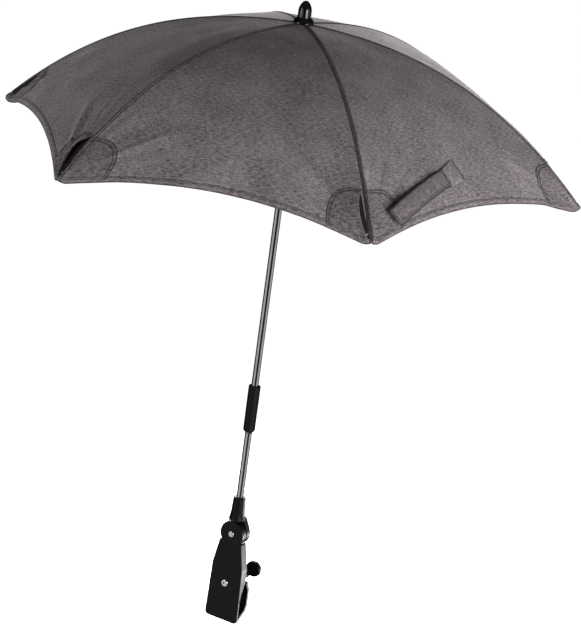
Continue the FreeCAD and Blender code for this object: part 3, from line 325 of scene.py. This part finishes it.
FINISHES = {
    "black_plastic": satin_black,
    "gloss_black": gloss_black,
    "inner_plastic": dull_grey,
    "chrome_tube": chrome,
    "steel": nickel,
    "alloy": zinc,
    "black_steel": painted_material("black enamel on spring steel", "#131114", "#8a8784"),
    "rubber_pad": rubber_material("moulded soft rubber", "#1b1a1b", "#4a4747"),
    "canopy_cloth": canopy_cloth,
}
for part in frame["record"]["subparts"]:
    mesh = nodes[part["node"]].data
    mesh.materials.clear()
    mesh.materials.append(FINISHES[part["material_slot"]])

# %% [markdown]
# ## The canopy's surface
# On the real parasol six panels are stretched over bowed ribs, so the cloth is smooth between the
# ribs, draws in along the hem, and puckers at its seams and corners. A cloth simulation would find
# such a shape, but not the photographed one, so the surface is a formula: the rib line falls
# from the apex, and the cloth bows between two ribs. A spot is known by its radius along the
# rib and its reach across from the rib. Seams, hem and folds are then raised along the normal.

# %% Plain surface
# A rib tip's distance from the shaft, its drop below the apex, and the radius of the hole at the crown.
RIM, DROP, HOLE = 0.360, 0.1557, 0.0045
# The rib line falls as a cubic in the share of the rim's radius.
FALL = (0.037, 0.538, 0.425)
# Half a panel spans 30 degrees.
SIN, COS = 0.5, math.sqrt(0.75)
# The hem draws in between two ribs, reaches past the rim at each rib, and is rounded off there.
SCALLOP, CORNER_REACH = 0.012 / COS, 0.006
ROUND_REACH, ROUND_DEPTH = 0.013, 0.0042
# The cloth between two ribs lies this much higher at the hem than a flat panel would.
LIFT = 0.010


def bow(share):
    return 1 - (1 - share) ** 2


def hill(value, middle, width):
    return math.exp(-(((value - middle) / width) ** 2))


def smooth(value, low, high):
    share = min(1, max(0, (value - low) / (high - low)))
    return share * share * (3 - 2 * share)


def hem_radius(share):
    """The hem's radius at a share of the way from a rib to the middle of the panel, with a round corner."""
    rounding = max(0, 1 - share * RIM * SIN / ROUND_REACH) ** 2
    return RIM + CORNER_REACH - SCALLOP * bow(share) - ROUND_DEPTH * rounding


def surface(radius, reach, side):
    t = radius / RIM
    fall = sum(k * t ** (i + 1) for i, k in enumerate(FALL))
    z = -DROP * fall + LIFT * t * t * bow(reach / (radius * SIN))
    return Vector((radius - reach * SIN, side * reach * COS, z))


def outward(radius, reach, side, step=0.0004):
    down = surface(radius + step, reach, side) - surface(radius - step, reach, side)
    across = surface(radius, reach + step, side) - surface(radius, reach - step, side)
    return (down.cross(across) * side).normalized()


print("Hem radius at a rib and between ribs:", round(hem_radius(0), 4), round(hem_radius(1), 4))

# %% Seams, hem, folds and slack
# Heights of the ridge over a rib and the rise of the hem, and depths of the grooves that stitches press.
SEAM_RIDGE, HEM_RISE, STITCH_GROOVE = 0.0007, 0.0005, 0.0006
# Puckers along the hem, and the two sizes of waves in slack cloth.
PUCKER, PUCKER_LENGTH = 0.0004, 0.013
SLACK, SMALL_SLACK = 0.0015, 0.0006
# Each fold that fans out from a corner has an angle from the hem, in radians, and a height.
FOLDS = ((0.28, 0.0020), (0.60, 0.0036), (0.92, 0.0026), (1.26, 0.0016))
# How strong the folds are at some corners, by rib and side, and at the others.
FOLDED, FOLDED_LESS = {(6, -1): 1.1, (5, -1): 0.9}, 0.6
# How far the cloth wraps down at some corners, by rib, and at the others.
WRAPPED, WRAPPED_LESS = {1: 0.0044, 4: 0.0044}, 0.0012


def relief(number, side, radius, reach):
    """How far the cloth stands off its plain surface."""
    share = reach / (radius * SIN)
    margin = hem_radius(share) - radius
    seam = SEAM_RIDGE * hill(reach, 0, 0.0014) - STITCH_GROOVE * hill(reach, SEAM_LINE, 0.0009)
    hem = HEM_RISE * hill(margin, 0.003, 0.003) - STITCH_GROOVE * hill(margin, HEM_STITCH, 0.0011)
    pucker = PUCKER * math.sin(math.tau * reach / PUCKER_LENGTH) * hill(margin, 0.008, 0.006)
    # At a corner the cloth wraps down on both sides of the rib's end.
    wrap = WRAPPED.get(number, WRAPPED_LESS) * smooth(reach, 0.003, 0.014)
    wrap *= (1 - smooth(reach, 0.030, 0.070)) * (1 - smooth(margin, 0, 0.040))
    away, angle = math.hypot(reach, margin), math.atan2(max(margin, 0), reach)
    fan = smooth(away, 0.036, 0.055) * (1 - smooth(away, 0.062, 0.125))
    fan *= FOLDED.get((number, side), FOLDED_LESS)
    folds = 0.0
    for i, (middle, height) in enumerate(FOLDS):
        shift = 0.09 * math.sin(2.3 * number + 1.7 * side + 2.1 * i)
        size = height * (0.65 + 0.35 * math.sin(number + 3 * i + side))
        folds += size * (hill(angle, middle + shift, 0.07) - 0.5 * hill(angle, middle + shift + 0.13, 0.06))
    place = rib_place(number) @ surface(radius, reach, side)
    slack = SLACK * noise.noise(place * 9) + SMALL_SLACK * noise.noise(place * 26)
    # The cloth is tight beside the rib, at the crown and in the middle, where both halves fold together.
    slack *= smooth(reach, 0.003, 0.04) * smooth(radius, 0.02, 0.12) * (1 - 0.85 * smooth(share, 0.5, 1))
    return seam + hem + pucker + fan * folds + slack - wrap


def on_cloth(number, side, radius, reach, height=0.0):
    """A point on or above the finished cloth, in the model's frame."""
    stand = relief(number, side, radius, reach) + height
    return rib_place(number) @ (surface(radius, reach, side) + outward(radius, reach, side) * stand)


print("Cloth beside rib 1, half-way out:", [round(v, 4) for v in on_cloth(1, 1, 0.18, 0.02)])


# %% One function for every cloth piece
def link_piece(name, bm, made):
    """Turns a bmesh into an object with one material."""
    mesh = bpy.data.meshes.new(name)
    bm.to_mesh(mesh)
    bm.free()
    mesh.materials.append(made)
    piece = bpy.data.objects.new(name, mesh)
    bpy.context.scene.collection.objects.link(piece)
    return piece


def cloth_piece(name, cells, spot, made, flip, thickness, offset):
    """A grid placed by spot(across, along), which gives a point and both UVs, closed by a Solidify."""
    bm = bmesh.new()
    bmesh.ops.create_grid(bm, x_segments=cells[0], y_segments=cells[1], size=0.5)
    layers = [bm.loops.layers.uv.new(layer) for layer in ("cut", "sewn")]
    maps = {}
    for vert in bm.verts:
        vert.co, *maps[vert] = spot(vert.co.x + 0.5, vert.co.y + 0.5)
    for face in bm.faces:
        face.smooth = True
        for loop in face.loops:
            for layer, value in zip(layers, maps[loop.vert]):
                loop[layer].uv = value
    if flip:
        bmesh.ops.reverse_faces(bm, faces=bm.faces)
    for edge in bm.edges:
        edge.smooth = not edge.is_boundary
    area = sum(face.calc_area() for face in bm.faces)
    piece = link_piece(name, bm, made)
    shell = piece.modifiers.new("thickness", "SOLIDIFY")
    shell.thickness, shell.offset = thickness, offset
    return piece, area


def fold_with(piece):
    """Bakes the piece's transform into its mesh."""
    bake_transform(piece)


# %% [markdown]
# ## Panels
# Each panel of the canopy is modelled in two halves that meet at its middle, because one half
# folds with each rib. A half is one grid, mapped on the surface: its columns are close at the rib,
# where the seam is, and its rows are close at the hem, which turns under by 8.5 mm.

# %% Half panels with a turned hem
# The cloth's thickness, the radius of the turned edge and the width of the hem under the panel.
CLOTH, TURN, HEM = 0.0005, 0.0008, 0.0085
# Widths of the zones beside the rib and at the hem that have close columns and rows.
NEAR, HEM_ZONE = 0.0060, 0.012
# Shares of the columns beside the rib, and of the rows up to the hem's zone, the edge and the turn's end.
NEAR_COLUMNS, PLAIN_ROWS, EDGE_ROWS, TURN_ROWS = 0.22, 0.76, 0.90, 0.96
PANEL_CELLS = (50, 112)
# The halves on both sides of a rib start this far from its middle.
SEAM_GAP = 0.00003


def hem_row(along):
    """How far in from the edge, and how far under the cloth, a row of the turned hem lies."""
    if along < TURN_ROWS:
        angle = math.pi * (along - EDGE_ROWS) / (TURN_ROWS - EDGE_ROWS)
        return TURN * (1 - math.sin(angle)), TURN * (1 - math.cos(angle))
    return TURN + (HEM - TURN) * (along - TURN_ROWS) / (1 - TURN_ROWS), 2 * TURN


def panel_spot(across, along):
    """Radius, reach and depth of a spot of a half panel; a few rounds settle radius and hem together."""
    share, depth = 0.5, 0.0
    for _ in range(6):
        edge = hem_radius(share)
        if along < PLAIN_ROWS:
            radius = HOLE + (edge - HEM_ZONE - HOLE) * along / PLAIN_ROWS
        elif along < EDGE_ROWS:
            radius = edge - HEM_ZONE + (HEM_ZONE - TURN) * (along - PLAIN_ROWS) / (EDGE_ROWS - PLAIN_ROWS)
        else:
            margin, depth = hem_row(along)
            radius = edge - margin
        half = radius * SIN
        near = min(NEAR, 0.4 * half)
        if across < NEAR_COLUMNS:
            reach = near * across / NEAR_COLUMNS
        else:
            reach = near + (half - near) * (across - NEAR_COLUMNS) / (1 - NEAR_COLUMNS)
        share = reach / half
    return radius, max(reach, SEAM_GAP), depth


for number in RIBS:
    for hand, side in SIDES.items():
        # A panel lies to the left of the rib with its number, and both its halves share one cut.
        panel = number if side > 0 else number - 1 or len(RIBS)

        def spot(across, along):
            radius, reach, depth = panel_spot(across, along)
            margin = 0.02 if depth > TURN else hem_radius(reach / (radius * SIN)) - radius
            cut = side * (reach - radius * SIN) + 1.3 * panel, 1.09 * radius + 0.37 * panel
            return on_cloth(number, side, radius, reach, -depth), cut, (reach, margin)

        name = f"panel_{number}_{hand}"
        piece, area = cloth_piece(name, PANEL_CELLS, spot, canopy_cloth, side > 0, CLOTH, -1)
        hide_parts(f"gore_{number}_{hand}")
        fold_with(piece)

# %% [markdown]
# ## Corner pockets
# A rounded patch is sewn over each side of every corner, and the rib's end goes into the pocket under it. Beside
# the rib the patch is left open, so its lip gapes over a dark sheet whose colour is painted shade in the pocket's
# mouth. A painted dark spot on the panel would vanish from the side, so the lip really stands off the panel.

# %% Patches and the dark sheets of painted shade in their pockets
# A patch's radius, and its distances from the rib and from the hem's edge.
PATCH, PATCH_GAP, PATCH_EDGE = 0.048, 0.0030, 0.0020
# The first ring of a patch's grid lies at this share of its radius, and the others span the rest.
PATCH_START, PATCH_SPAN = 0.05, 0.95
# A patch stands this far off the panel at its seams, and puffs up by this much more between them.
PATCH_RISE, PATCH_PUFF = 0.0004, 0.0014
# The open side of each corner's pocket, how far its lip gapes and how far the lip lifts.
GAPES = {
    1: ("right", 0.004, 0.002),
    2: ("right", 0.006, 0.003),
    3: ("left", 0.007, 0.003),
    4: ("left", 0.023, 0.002),
    5: ("right", 0.012, 0.006),
    6: ("right", 0.007, 0.005),
}


def lip_at(number, hand, size):
    """How far the lip gapes and lifts, at a share of the way from the hem along the rib."""
    open_hand, gape, lift = GAPES[number]
    share = math.sin(math.pi * size) ** 0.8 if hand == open_hand and size < 1 else 0.0
    return gape * share, lift * share


def patch_spot(across, along, gape=0.0):
    """Radius and reach of a spot of a quarter-disc patch, whose last column is the lip beside the rib."""
    angle, size = math.pi / 2 * across, PATCH_START + PATCH_SPAN * along
    reach = PATCH_GAP + PATCH * size * math.cos(angle) + gape * smooth(across, 0.4, 1)
    margin = PATCH_EDGE + PATCH * size * math.sin(angle)
    return hem_radius(reach / (RIM * SIN)) - margin, reach


patches = []
for number in RIBS:
    for hand, side in SIDES.items():

        def patch(across, along):
            gape, lift = lip_at(number, hand, PATCH_START + PATCH_SPAN * along)
            radius, reach = patch_spot(across, along, gape)
            puff = PATCH_PUFF * math.sin(math.pi * along) ** 2 * (1 - across**4)
            height = PATCH_RISE + puff + lift * smooth(across, 0.5, 1) ** 2
            cut = side * reach + 0.9 * number, radius
            return on_cloth(number, side, radius, reach, height), cut, (1, PATCH * PATCH_SPAN * (1 - along))

        name = f"corner_patch_{number}_{hand}"
        piece, area = cloth_piece(name, (20, 18), patch, patch_cloth, side < 0, CLOTH, 1)
        fold_with(piece)
        patches.append(piece)

        # A dark sheet, coloured as painted shade, lies under the three quarters of its patch that are nearest to
        # the rib.
        def shade_sheet_spot(across, along):
            radius, reach = patch_spot(0.25 + 0.75 * across, 0.98 * along)
            return on_cloth(number, side, radius, reach - 0.0006, 0.0001), (side * reach, radius), (1, 1)

        if hand == GAPES[number][0]:
            name = f"pocket_shade_sheet_{number}"
            piece, area = cloth_piece(name, (14, 16), shade_sheet_spot, pocket_shade_sheet, side < 0, 0.0002, 1)
            fold_with(piece)
            patches.append(piece)
print("Corner patches and pocket shade sheets:", len(patches))

# %% [markdown]
# ## Stitching
# Thread shows on the hem and round the patches. Each stitch is a small grain of thread that lies in
# the cloth, which reads better close up than a drawn line, and costs only twenty faces.


# %% Stitches
def stitch_rows(name, rows, made, thick):
    """One piece of many stitches, each given by its start, end and normal."""
    bm = bmesh.new()
    for start, end, normal in rows:
        along = end - start
        half = along.length / 2
        along.normalize()
        beside = normal.cross(along).normalized()
        axes = Matrix((along * half, beside * thick, along.cross(beside) * thick * 0.8))
        place = Matrix.Translation((start + end) / 2) @ axes.transposed().to_4x4()
        bmesh.ops.create_icosphere(bm, subdivisions=1, radius=1, matrix=place)
    bmesh.ops.recalc_face_normals(bm, faces=bm.faces)
    for face in bm.faces:
        face.smooth = True
    return link_piece(name, bm, made)


def stitches(number, side, count, path, height):
    """Stitches along path(share), which gives radius and reach on the cloth."""
    row = []
    for i in range(count):
        ends = [path((i + share) / count) for share in (0.18, 0.82)]
        start, end = (on_cloth(number, side, radius, reach, height) for radius, reach in ends)
        row.append((start, end, rib_place(number).to_3x3() @ outward(*ends[0], side)))
    return row


# Where the row on the hem starts beside the rib and how long it is, and how far a patch's straight row
# lies from the hem's edge.
HEM_ROW_START, HEM_ROW_LENGTH, CROSS_ROW = 0.004, 0.168, 0.0125


def hem_path(share):
    reach = HEM_ROW_START + share * HEM_ROW_LENGTH
    return hem_radius(reach / (RIM * SIN)) - HEM_STITCH, reach


def arc_path(share):
    return patch_spot(0.04 + 0.9 * share, 1 - PATCH_STITCH / (PATCH_SPAN * PATCH))


def cross_path(share):
    reach = PATCH_GAP + 0.002 + share * (PATCH - 0.006)
    return hem_radius(reach / (RIM * SIN)) - CROSS_ROW, reach


HEM_STITCHES, ARC_STITCHES, CROSS_STITCHES = 46, 22, 12
for number in RIBS:
    for hand, side in SIDES.items():
        hem_rows = stitches(number, side, HEM_STITCHES, hem_path, height=0.0002)
        patch_rows = stitches(number, side, ARC_STITCHES, arc_path, height=0.0012)
        patch_rows += stitches(number, side, CROSS_STITCHES, cross_path, height=0.0016)
        hem_row_made = stitch_rows(f"hem_stitching_{number}_{hand}", hem_rows, grey_thread, 0.0003)
        patch_row_made = stitch_rows(f"patch_stitching_{number}_{hand}", patch_rows, dark_thread, 0.00035)
        for piece in (hem_row_made, patch_row_made):
            fold_with(piece)
print("Stitches on each half panel:", len(hem_rows) + len(patch_rows))

# %% [markdown]
# ## The tie strap
# A flat strap goes round the closed canopy. It is sewn down under a square tab near the middle
# of one panel, and its loose end lies towards a rib and lifts off the cloth. Remeshing and
# simulation would lose its crisp turned edges, so it is a mapped grid as well.

# %% Where the strap lies
STRAP_RIB, STRAP_HAND, STRAP_SIDE = 6, "left", 1
# Its ends, each as shares of the way from the crown to the hem and from the rib to the panel's middle.
STRAP_FROM, STRAP_TO = (0.893, 0.95), (0.965, 0.19)
STRAP_WIDTH, STRAP_LENGTH = 0.022, 0.128
# The tab is cut 31 mm long, and 30 mm of it show.
TAB_WIDTH, TAB_LENGTH, TAB_SHOWN = 0.027, 0.031, 0.030
# Where the tab starts, how long it is and how far it is turned, as shares of the strap's length.
TAB_FROM, TAB_SHARE, TAB_TURN = -0.045, 0.235, 0.025
# Thicknesses of both, and heights of stitches on the tab over the strap and outside it.
STRAP_THICK, TAB_THICK = 0.0010, 0.0006
HIGH_STITCH, LOW_STITCH = 0.0036, 0.0016
# The strap's height over the cloth under its tab, its step up past the tab, and the lift of its loose end.
STRAP_RISE, STRAP_STEP, STRAP_LIFT = 0.0012, 0.0036, 0.0036
# Heights of its long and short waves, of the curl across it and of its turned edges.
LONG_WAVE, SHORT_WAVE, CUP, TURNED_EDGE = 0.0008, 0.0005, 0.0010, 0.0005


def strap_centre(share):
    """A point of the strap's middle line on the cloth, and the cloth's normal there."""
    along, across = (a + share * (b - a) for a, b in zip(STRAP_FROM, STRAP_TO))
    radius = HOLE + along * (hem_radius(across) - HOLE)
    reach = across * radius * SIN
    normal = rib_place(STRAP_RIB).to_3x3() @ outward(radius, reach, STRAP_SIDE)
    return on_cloth(STRAP_RIB, STRAP_SIDE, radius, reach), normal


def strap_point(share, aside, height):
    here, normal = strap_centre(share)
    ahead = strap_centre(share + 0.01)[0] - strap_centre(share - 0.01)[0]
    return here + normal.cross(ahead).normalized() * aside + normal * height


def strap_height(share, aside):
    """The strap stands up past its tab, lifts towards its loose end, and is raised along its edges."""
    lift = STRAP_RISE + STRAP_STEP * smooth(share, 0.18, 0.36) + STRAP_LIFT * smooth(share, 0.55, 1.0)
    wave = LONG_WAVE * math.sin(9 * share + 0.6) + SHORT_WAVE * math.sin(27 * share + 90 * aside)
    wave *= smooth(share, 0.2, 0.4)
    cup = CUP * (2 * aside / STRAP_WIDTH) ** 2 * smooth(share, 0.2, 0.5)
    turned = TURNED_EDGE * (1 - smooth(STRAP_WIDTH / 2 - abs(aside), 0.0022, 0.0032))
    return lift + wave - cup + turned


end_to_end = (strap_centre(1)[0] - strap_centre(0)[0]).length
print("Strap middle line:", round(end_to_end * 1000), "mm from end to end")


# %% Strap and tab
def strap_spot(across, along):
    aside = (across - 0.5) * STRAP_WIDTH
    share = along - 0.018 * (2 * abs(across - 0.5)) ** 6 * smooth(along, 0.9, 1.0)
    edge = min(STRAP_WIDTH / 2 - abs(aside), STRAP_LENGTH * (1 - along))
    cut = STRAP_LENGTH * along, aside + 5
    return strap_point(share, aside, strap_height(share, aside)), cut, (1, edge)


def tab_spot(across, along):
    """The tab is turned a little on the strap, and pressed down at its outer end."""
    share = TAB_FROM + TAB_SHARE * along + TAB_TURN * (across - 0.5)
    aside = (across - 0.5) * (TAB_WIDTH - 0.003 * along) + 0.003 * (along - 0.5)
    pressed = smooth(share, -0.05, 0.03) * (1 - 0.5 * hill(abs(across - 0.5), 0.5, 0.12))
    cut = aside + 7, TAB_SHOWN * along
    edge = TAB_SHOWN * min(along, 1 - along) + 0.0012
    return strap_point(share, aside, 0.0005 + 0.0024 * pressed), cut, (1, edge)


strap, area = cloth_piece("tie_strap_web", (22, 72), strap_spot, strap_cloth, False, STRAP_THICK, 1)
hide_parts("tie_strap")
tab, tab_area = cloth_piece("strap_tab", (14, 16), tab_spot, tab_cloth, False, TAB_THICK, 1)
for piece in (strap, tab):
    fold_with(piece)
print("Strap area", round(area * 1e6), "mm2, tab area", round(tab_area * 1e6), "mm2")


# %% Strap stitching
def strap_row(count, start, stop, height):
    """Stitches from start to stop, both (share, aside), at a height over the strap's own."""
    row = []
    for i in range(count):
        ends = []
        for part in ((i + 0.15) / count, (i + 0.85) / count):
            share, aside = (a + part * (b - a) for a, b in zip(start, stop))
            ends.append(strap_point(share, aside, height(share, aside)))
        row.append((ends[0], ends[1], strap_centre(start[0])[1]))
    return row


def over_strap(share, aside):
    return strap_height(share, aside) + 0.0011


def over_tab(share, aside):
    return HIGH_STITCH if share > 0 else LOW_STITCH


seam = STRAP_WIDTH / 2 - STRAP_STITCH
edge_rows = strap_row(34, (0.20, -seam), (0.97, -seam), over_strap)
edge_rows += strap_row(34, (0.20, seam), (0.97, seam), over_strap)
edge_rows += strap_row(6, (0.975, -seam), (0.975, seam), over_strap)
edge_stitching = stitch_rows("strap_stitching", edge_rows, grey_thread, 0.0003)
box_rows = []
for share in (0.015, 0.165):
    box_rows += strap_row(8, (share, -0.010), (share, 0.010), over_tab)
for aside in (-0.0105, 0.0105):
    box_rows += strap_row(7, (0.015, aside), (0.165, aside), over_tab)
box_stitching = stitch_rows("tab_stitching", box_rows, grey_thread, 0.00035)
ragged_rows = []
for i in range(9):
    aside = -0.012 + 0.003 * i
    start = (-0.055 + 0.014 * (i % 3), aside)
    stop = (-0.012 + 0.01 * (i % 2), aside + 0.002)
    ragged_rows += strap_row(1, start, stop, over_tab)
ragged_stitching = stitch_rows("tab_bar_tack", ragged_rows, dark_thread, 0.00045)
for piece in (edge_stitching, box_stitching, ragged_stitching):
    fold_with(piece)
print("Strap stitches:", len(edge_rows), "and tab stitches:", len(box_rows) + len(ragged_rows))

# %% [markdown]
# ## Stage
# The floor is a wide pale disc well under the parasol, bright enough to read as white paper, and
# seen through from below so that the underside can be looked at. Soft lights stand round the
# canopy at its own height, so that the cloth is dark on top and brighter where it slopes towards
# them. The sky is a ring of bright and dim bands, which draws the stripes on the chrome.

# %% Floor
FLOOR_RADIUS, FLOOR_HEIGHT = 30, -0.45
bm = bmesh.new()
bmesh.ops.create_circle(bm, cap_ends=True, segments=96, radius=FLOOR_RADIUS)
floor_mesh = bpy.data.meshes.new("studio_floor")
bm.to_mesh(floor_mesh)
bm.free()
floor = bpy.data.objects.new("studio_floor", floor_mesh)
floor.location.z = FLOOR_HEIGHT
bpy.context.scene.collection.objects.link(floor)
floor.visible_glossy = False
paper, node = start_material("pale studio paper")
# Broad clouds 0.8 m across, too faint to draw the eye.
clouds = node("TexNoise", {"Vector": node("TexCoord")["Object"], "Scale": 1 / 0.8})[0]
tone = node("Mix", {0: clouds, 6: linear("#f4f4f4"), 7: linear("#fafafa")}, data_type="RGBA")[2]
look = {"Base Color": tone, "Roughness": 0.9}
look |= {"Emission Color": linear("#ffffff"), "Emission Strength": 0.95}
lit, clear = node("BsdfPrincipled", look)[0], node("BsdfTransparent")[0]
seen = node("MixShader", {0: node("NewGeometry")["Backfacing"], 1: lit, 2: clear})[0]
node("OutputMaterial", {"Surface": seen})
floor_mesh.materials.append(paper)
print("Floor at", FLOOR_HEIGHT, "m")

# %% Sky
# The camera's place, angles and lens were fitted to the photo's rib tips, hem and shaft.
CAMERA_PLACE = Vector((1.5549, -2.6347, 1.3802))
CAMERA_ANGLES, CAMERA_LENS = (71.826, -7.439, 32.434), 149.13
TOWARDS_CAMERA = Vector((CAMERA_PLACE.x, CAMERA_PLACE.y, 0)).normalized()
# Brightness round the horizon, from behind the parasol (0) to behind the camera (1).
BANDS = ((0.0, 0.12), (0.44, 0.04), (0.54, 0.9), (0.87, 0.9), (0.94, 0.03), (1.0, 0.02))
RING_TURN = Matrix.Rotation(math.radians(12), 3, "Z")
world = bpy.data.worlds.new("studio")
bpy.context.scene.world = world
world.use_nodes = True
world.node_tree.nodes.clear()
node = functools.partial(add, world.node_tree)
ray = node("TexCoord")["Generated"]
height = node("SeparateXYZ", {0: ray})[2]
facing = node("VectorMath", {0: ray, 1: RING_TURN @ TOWARDS_CAMERA}, operation="DOT_PRODUCT")["Value"]
ring = node("ValToRGB", {0: node("MapRange", {0: facing, 1: -1, 2: 1})[0]})[0]
ramp = ring.node.color_ramp
for i, (where, value) in enumerate(BANDS):
    stop = ramp.elements[i] if i < 2 else ramp.elements.new(where)
    stop.position = where
    stop.color = (value, value, value, 1)
dim = node("MapRange", {0: height, 1: -0.1, 2: 0.25, 3: 0.85, 4: 0.13})[0]
sky = node("Background", {"Color": ring, "Strength": dim})[0]
white = node("Background", {"Color": linear("#ffffff"), "Strength": 1.0})[0]
seen = node("MixShader", {0: node("LightPath")["Is Camera Ray"], 1: sky, 2: white})[0]
node("OutputWorld", {"Surface": seen})
print("Sky bands:", len(BANDS))


# %% Lights
def soft_light(name, turn, distance, height, aim_height, size, watts):
    """A soft panel of light, turned this many degrees to the right of the camera round the shaft."""
    lamp = bpy.data.lights.new(name, "AREA")
    lamp.shape, lamp.size, lamp.size_y, lamp.energy = "RECTANGLE", size[0], size[1], watts
    made = bpy.data.objects.new(name, lamp)
    made.location = Matrix.Rotation(math.radians(turn), 3, "Z") @ TOWARDS_CAMERA * distance
    made.location.z = height
    aim = Vector((0, 0, aim_height)) - made.location
    made.rotation_euler = aim.to_track_quat("-Z", "Y").to_euler()
    made.visible_camera = False
    bpy.context.scene.collection.objects.link(made)
    return made


key = soft_light(
    "key", turn=38, distance=1.9, height=0.58, aim_height=0.66, size=(1.0, 1.2), watts=39
)
fill = soft_light(
    "fill", turn=-62, distance=1.9, height=0.74, aim_height=0.66, size=(1.0, 1.2), watts=10.5
)
back = soft_light(
    "back", turn=172, distance=1.8, height=0.90, aim_height=0.72, size=(2.2, 0.4), watts=115
)
low_side = soft_light(
    "low_side", turn=120, distance=1.0, height=-0.30, aim_height=0.04, size=(0.6, 0.26), watts=14
)
low_back = soft_light(
    "low_back", turn=180, distance=1.0, height=0.36, aim_height=0.04, size=(0.6, 0.30), watts=12
)
# The back light would show as a white spot in glossy pieces.
back.visible_glossy = False
# The two low lights only draw the edges of the black clamp, and leave the cloth and the chrome alone.
clamp_pieces = bpy.data.collections.new("clamp_pieces")
for name in ("clamp_body", "rear_jaw", "wing_knob", "tilt_head", "friction_disc"):
    clamp_pieces.objects.link(nodes[name])
for lamp in (low_side, low_back):
    lamp.light_linking.receiver_collection = clamp_pieces
# The tubes would show the key as a white-hot patch under the canopy, so it leaves them to the sky.
tubes = bpy.data.collections.new("tubes")
for name in ("lower_tube", "upper_tube"):
    tubes.objects.link(nodes[name])
for tube in tubes.collection_objects:
    tube.light_linking.link_state = "EXCLUDE"
key.light_linking.receiver_collection = tubes
print("Lights:", [(lamp.name, lamp.data.energy) for lamp in (key, fill, back, low_side, low_back)])

# %% Camera
camera_data = bpy.data.cameras.new("camera")
camera_data.sensor_width, camera_data.lens = 36, CAMERA_LENS
camera = bpy.data.objects.new("camera", camera_data)
camera.location = CAMERA_PLACE
camera.rotation_euler = [math.radians(angle) for angle in CAMERA_ANGLES]
bpy.context.scene.collection.objects.link(camera)
bpy.context.scene.camera = camera
bpy.context.scene.view_settings.view_transform = "Standard"
print("Camera at", [round(v, 3) for v in camera.location])
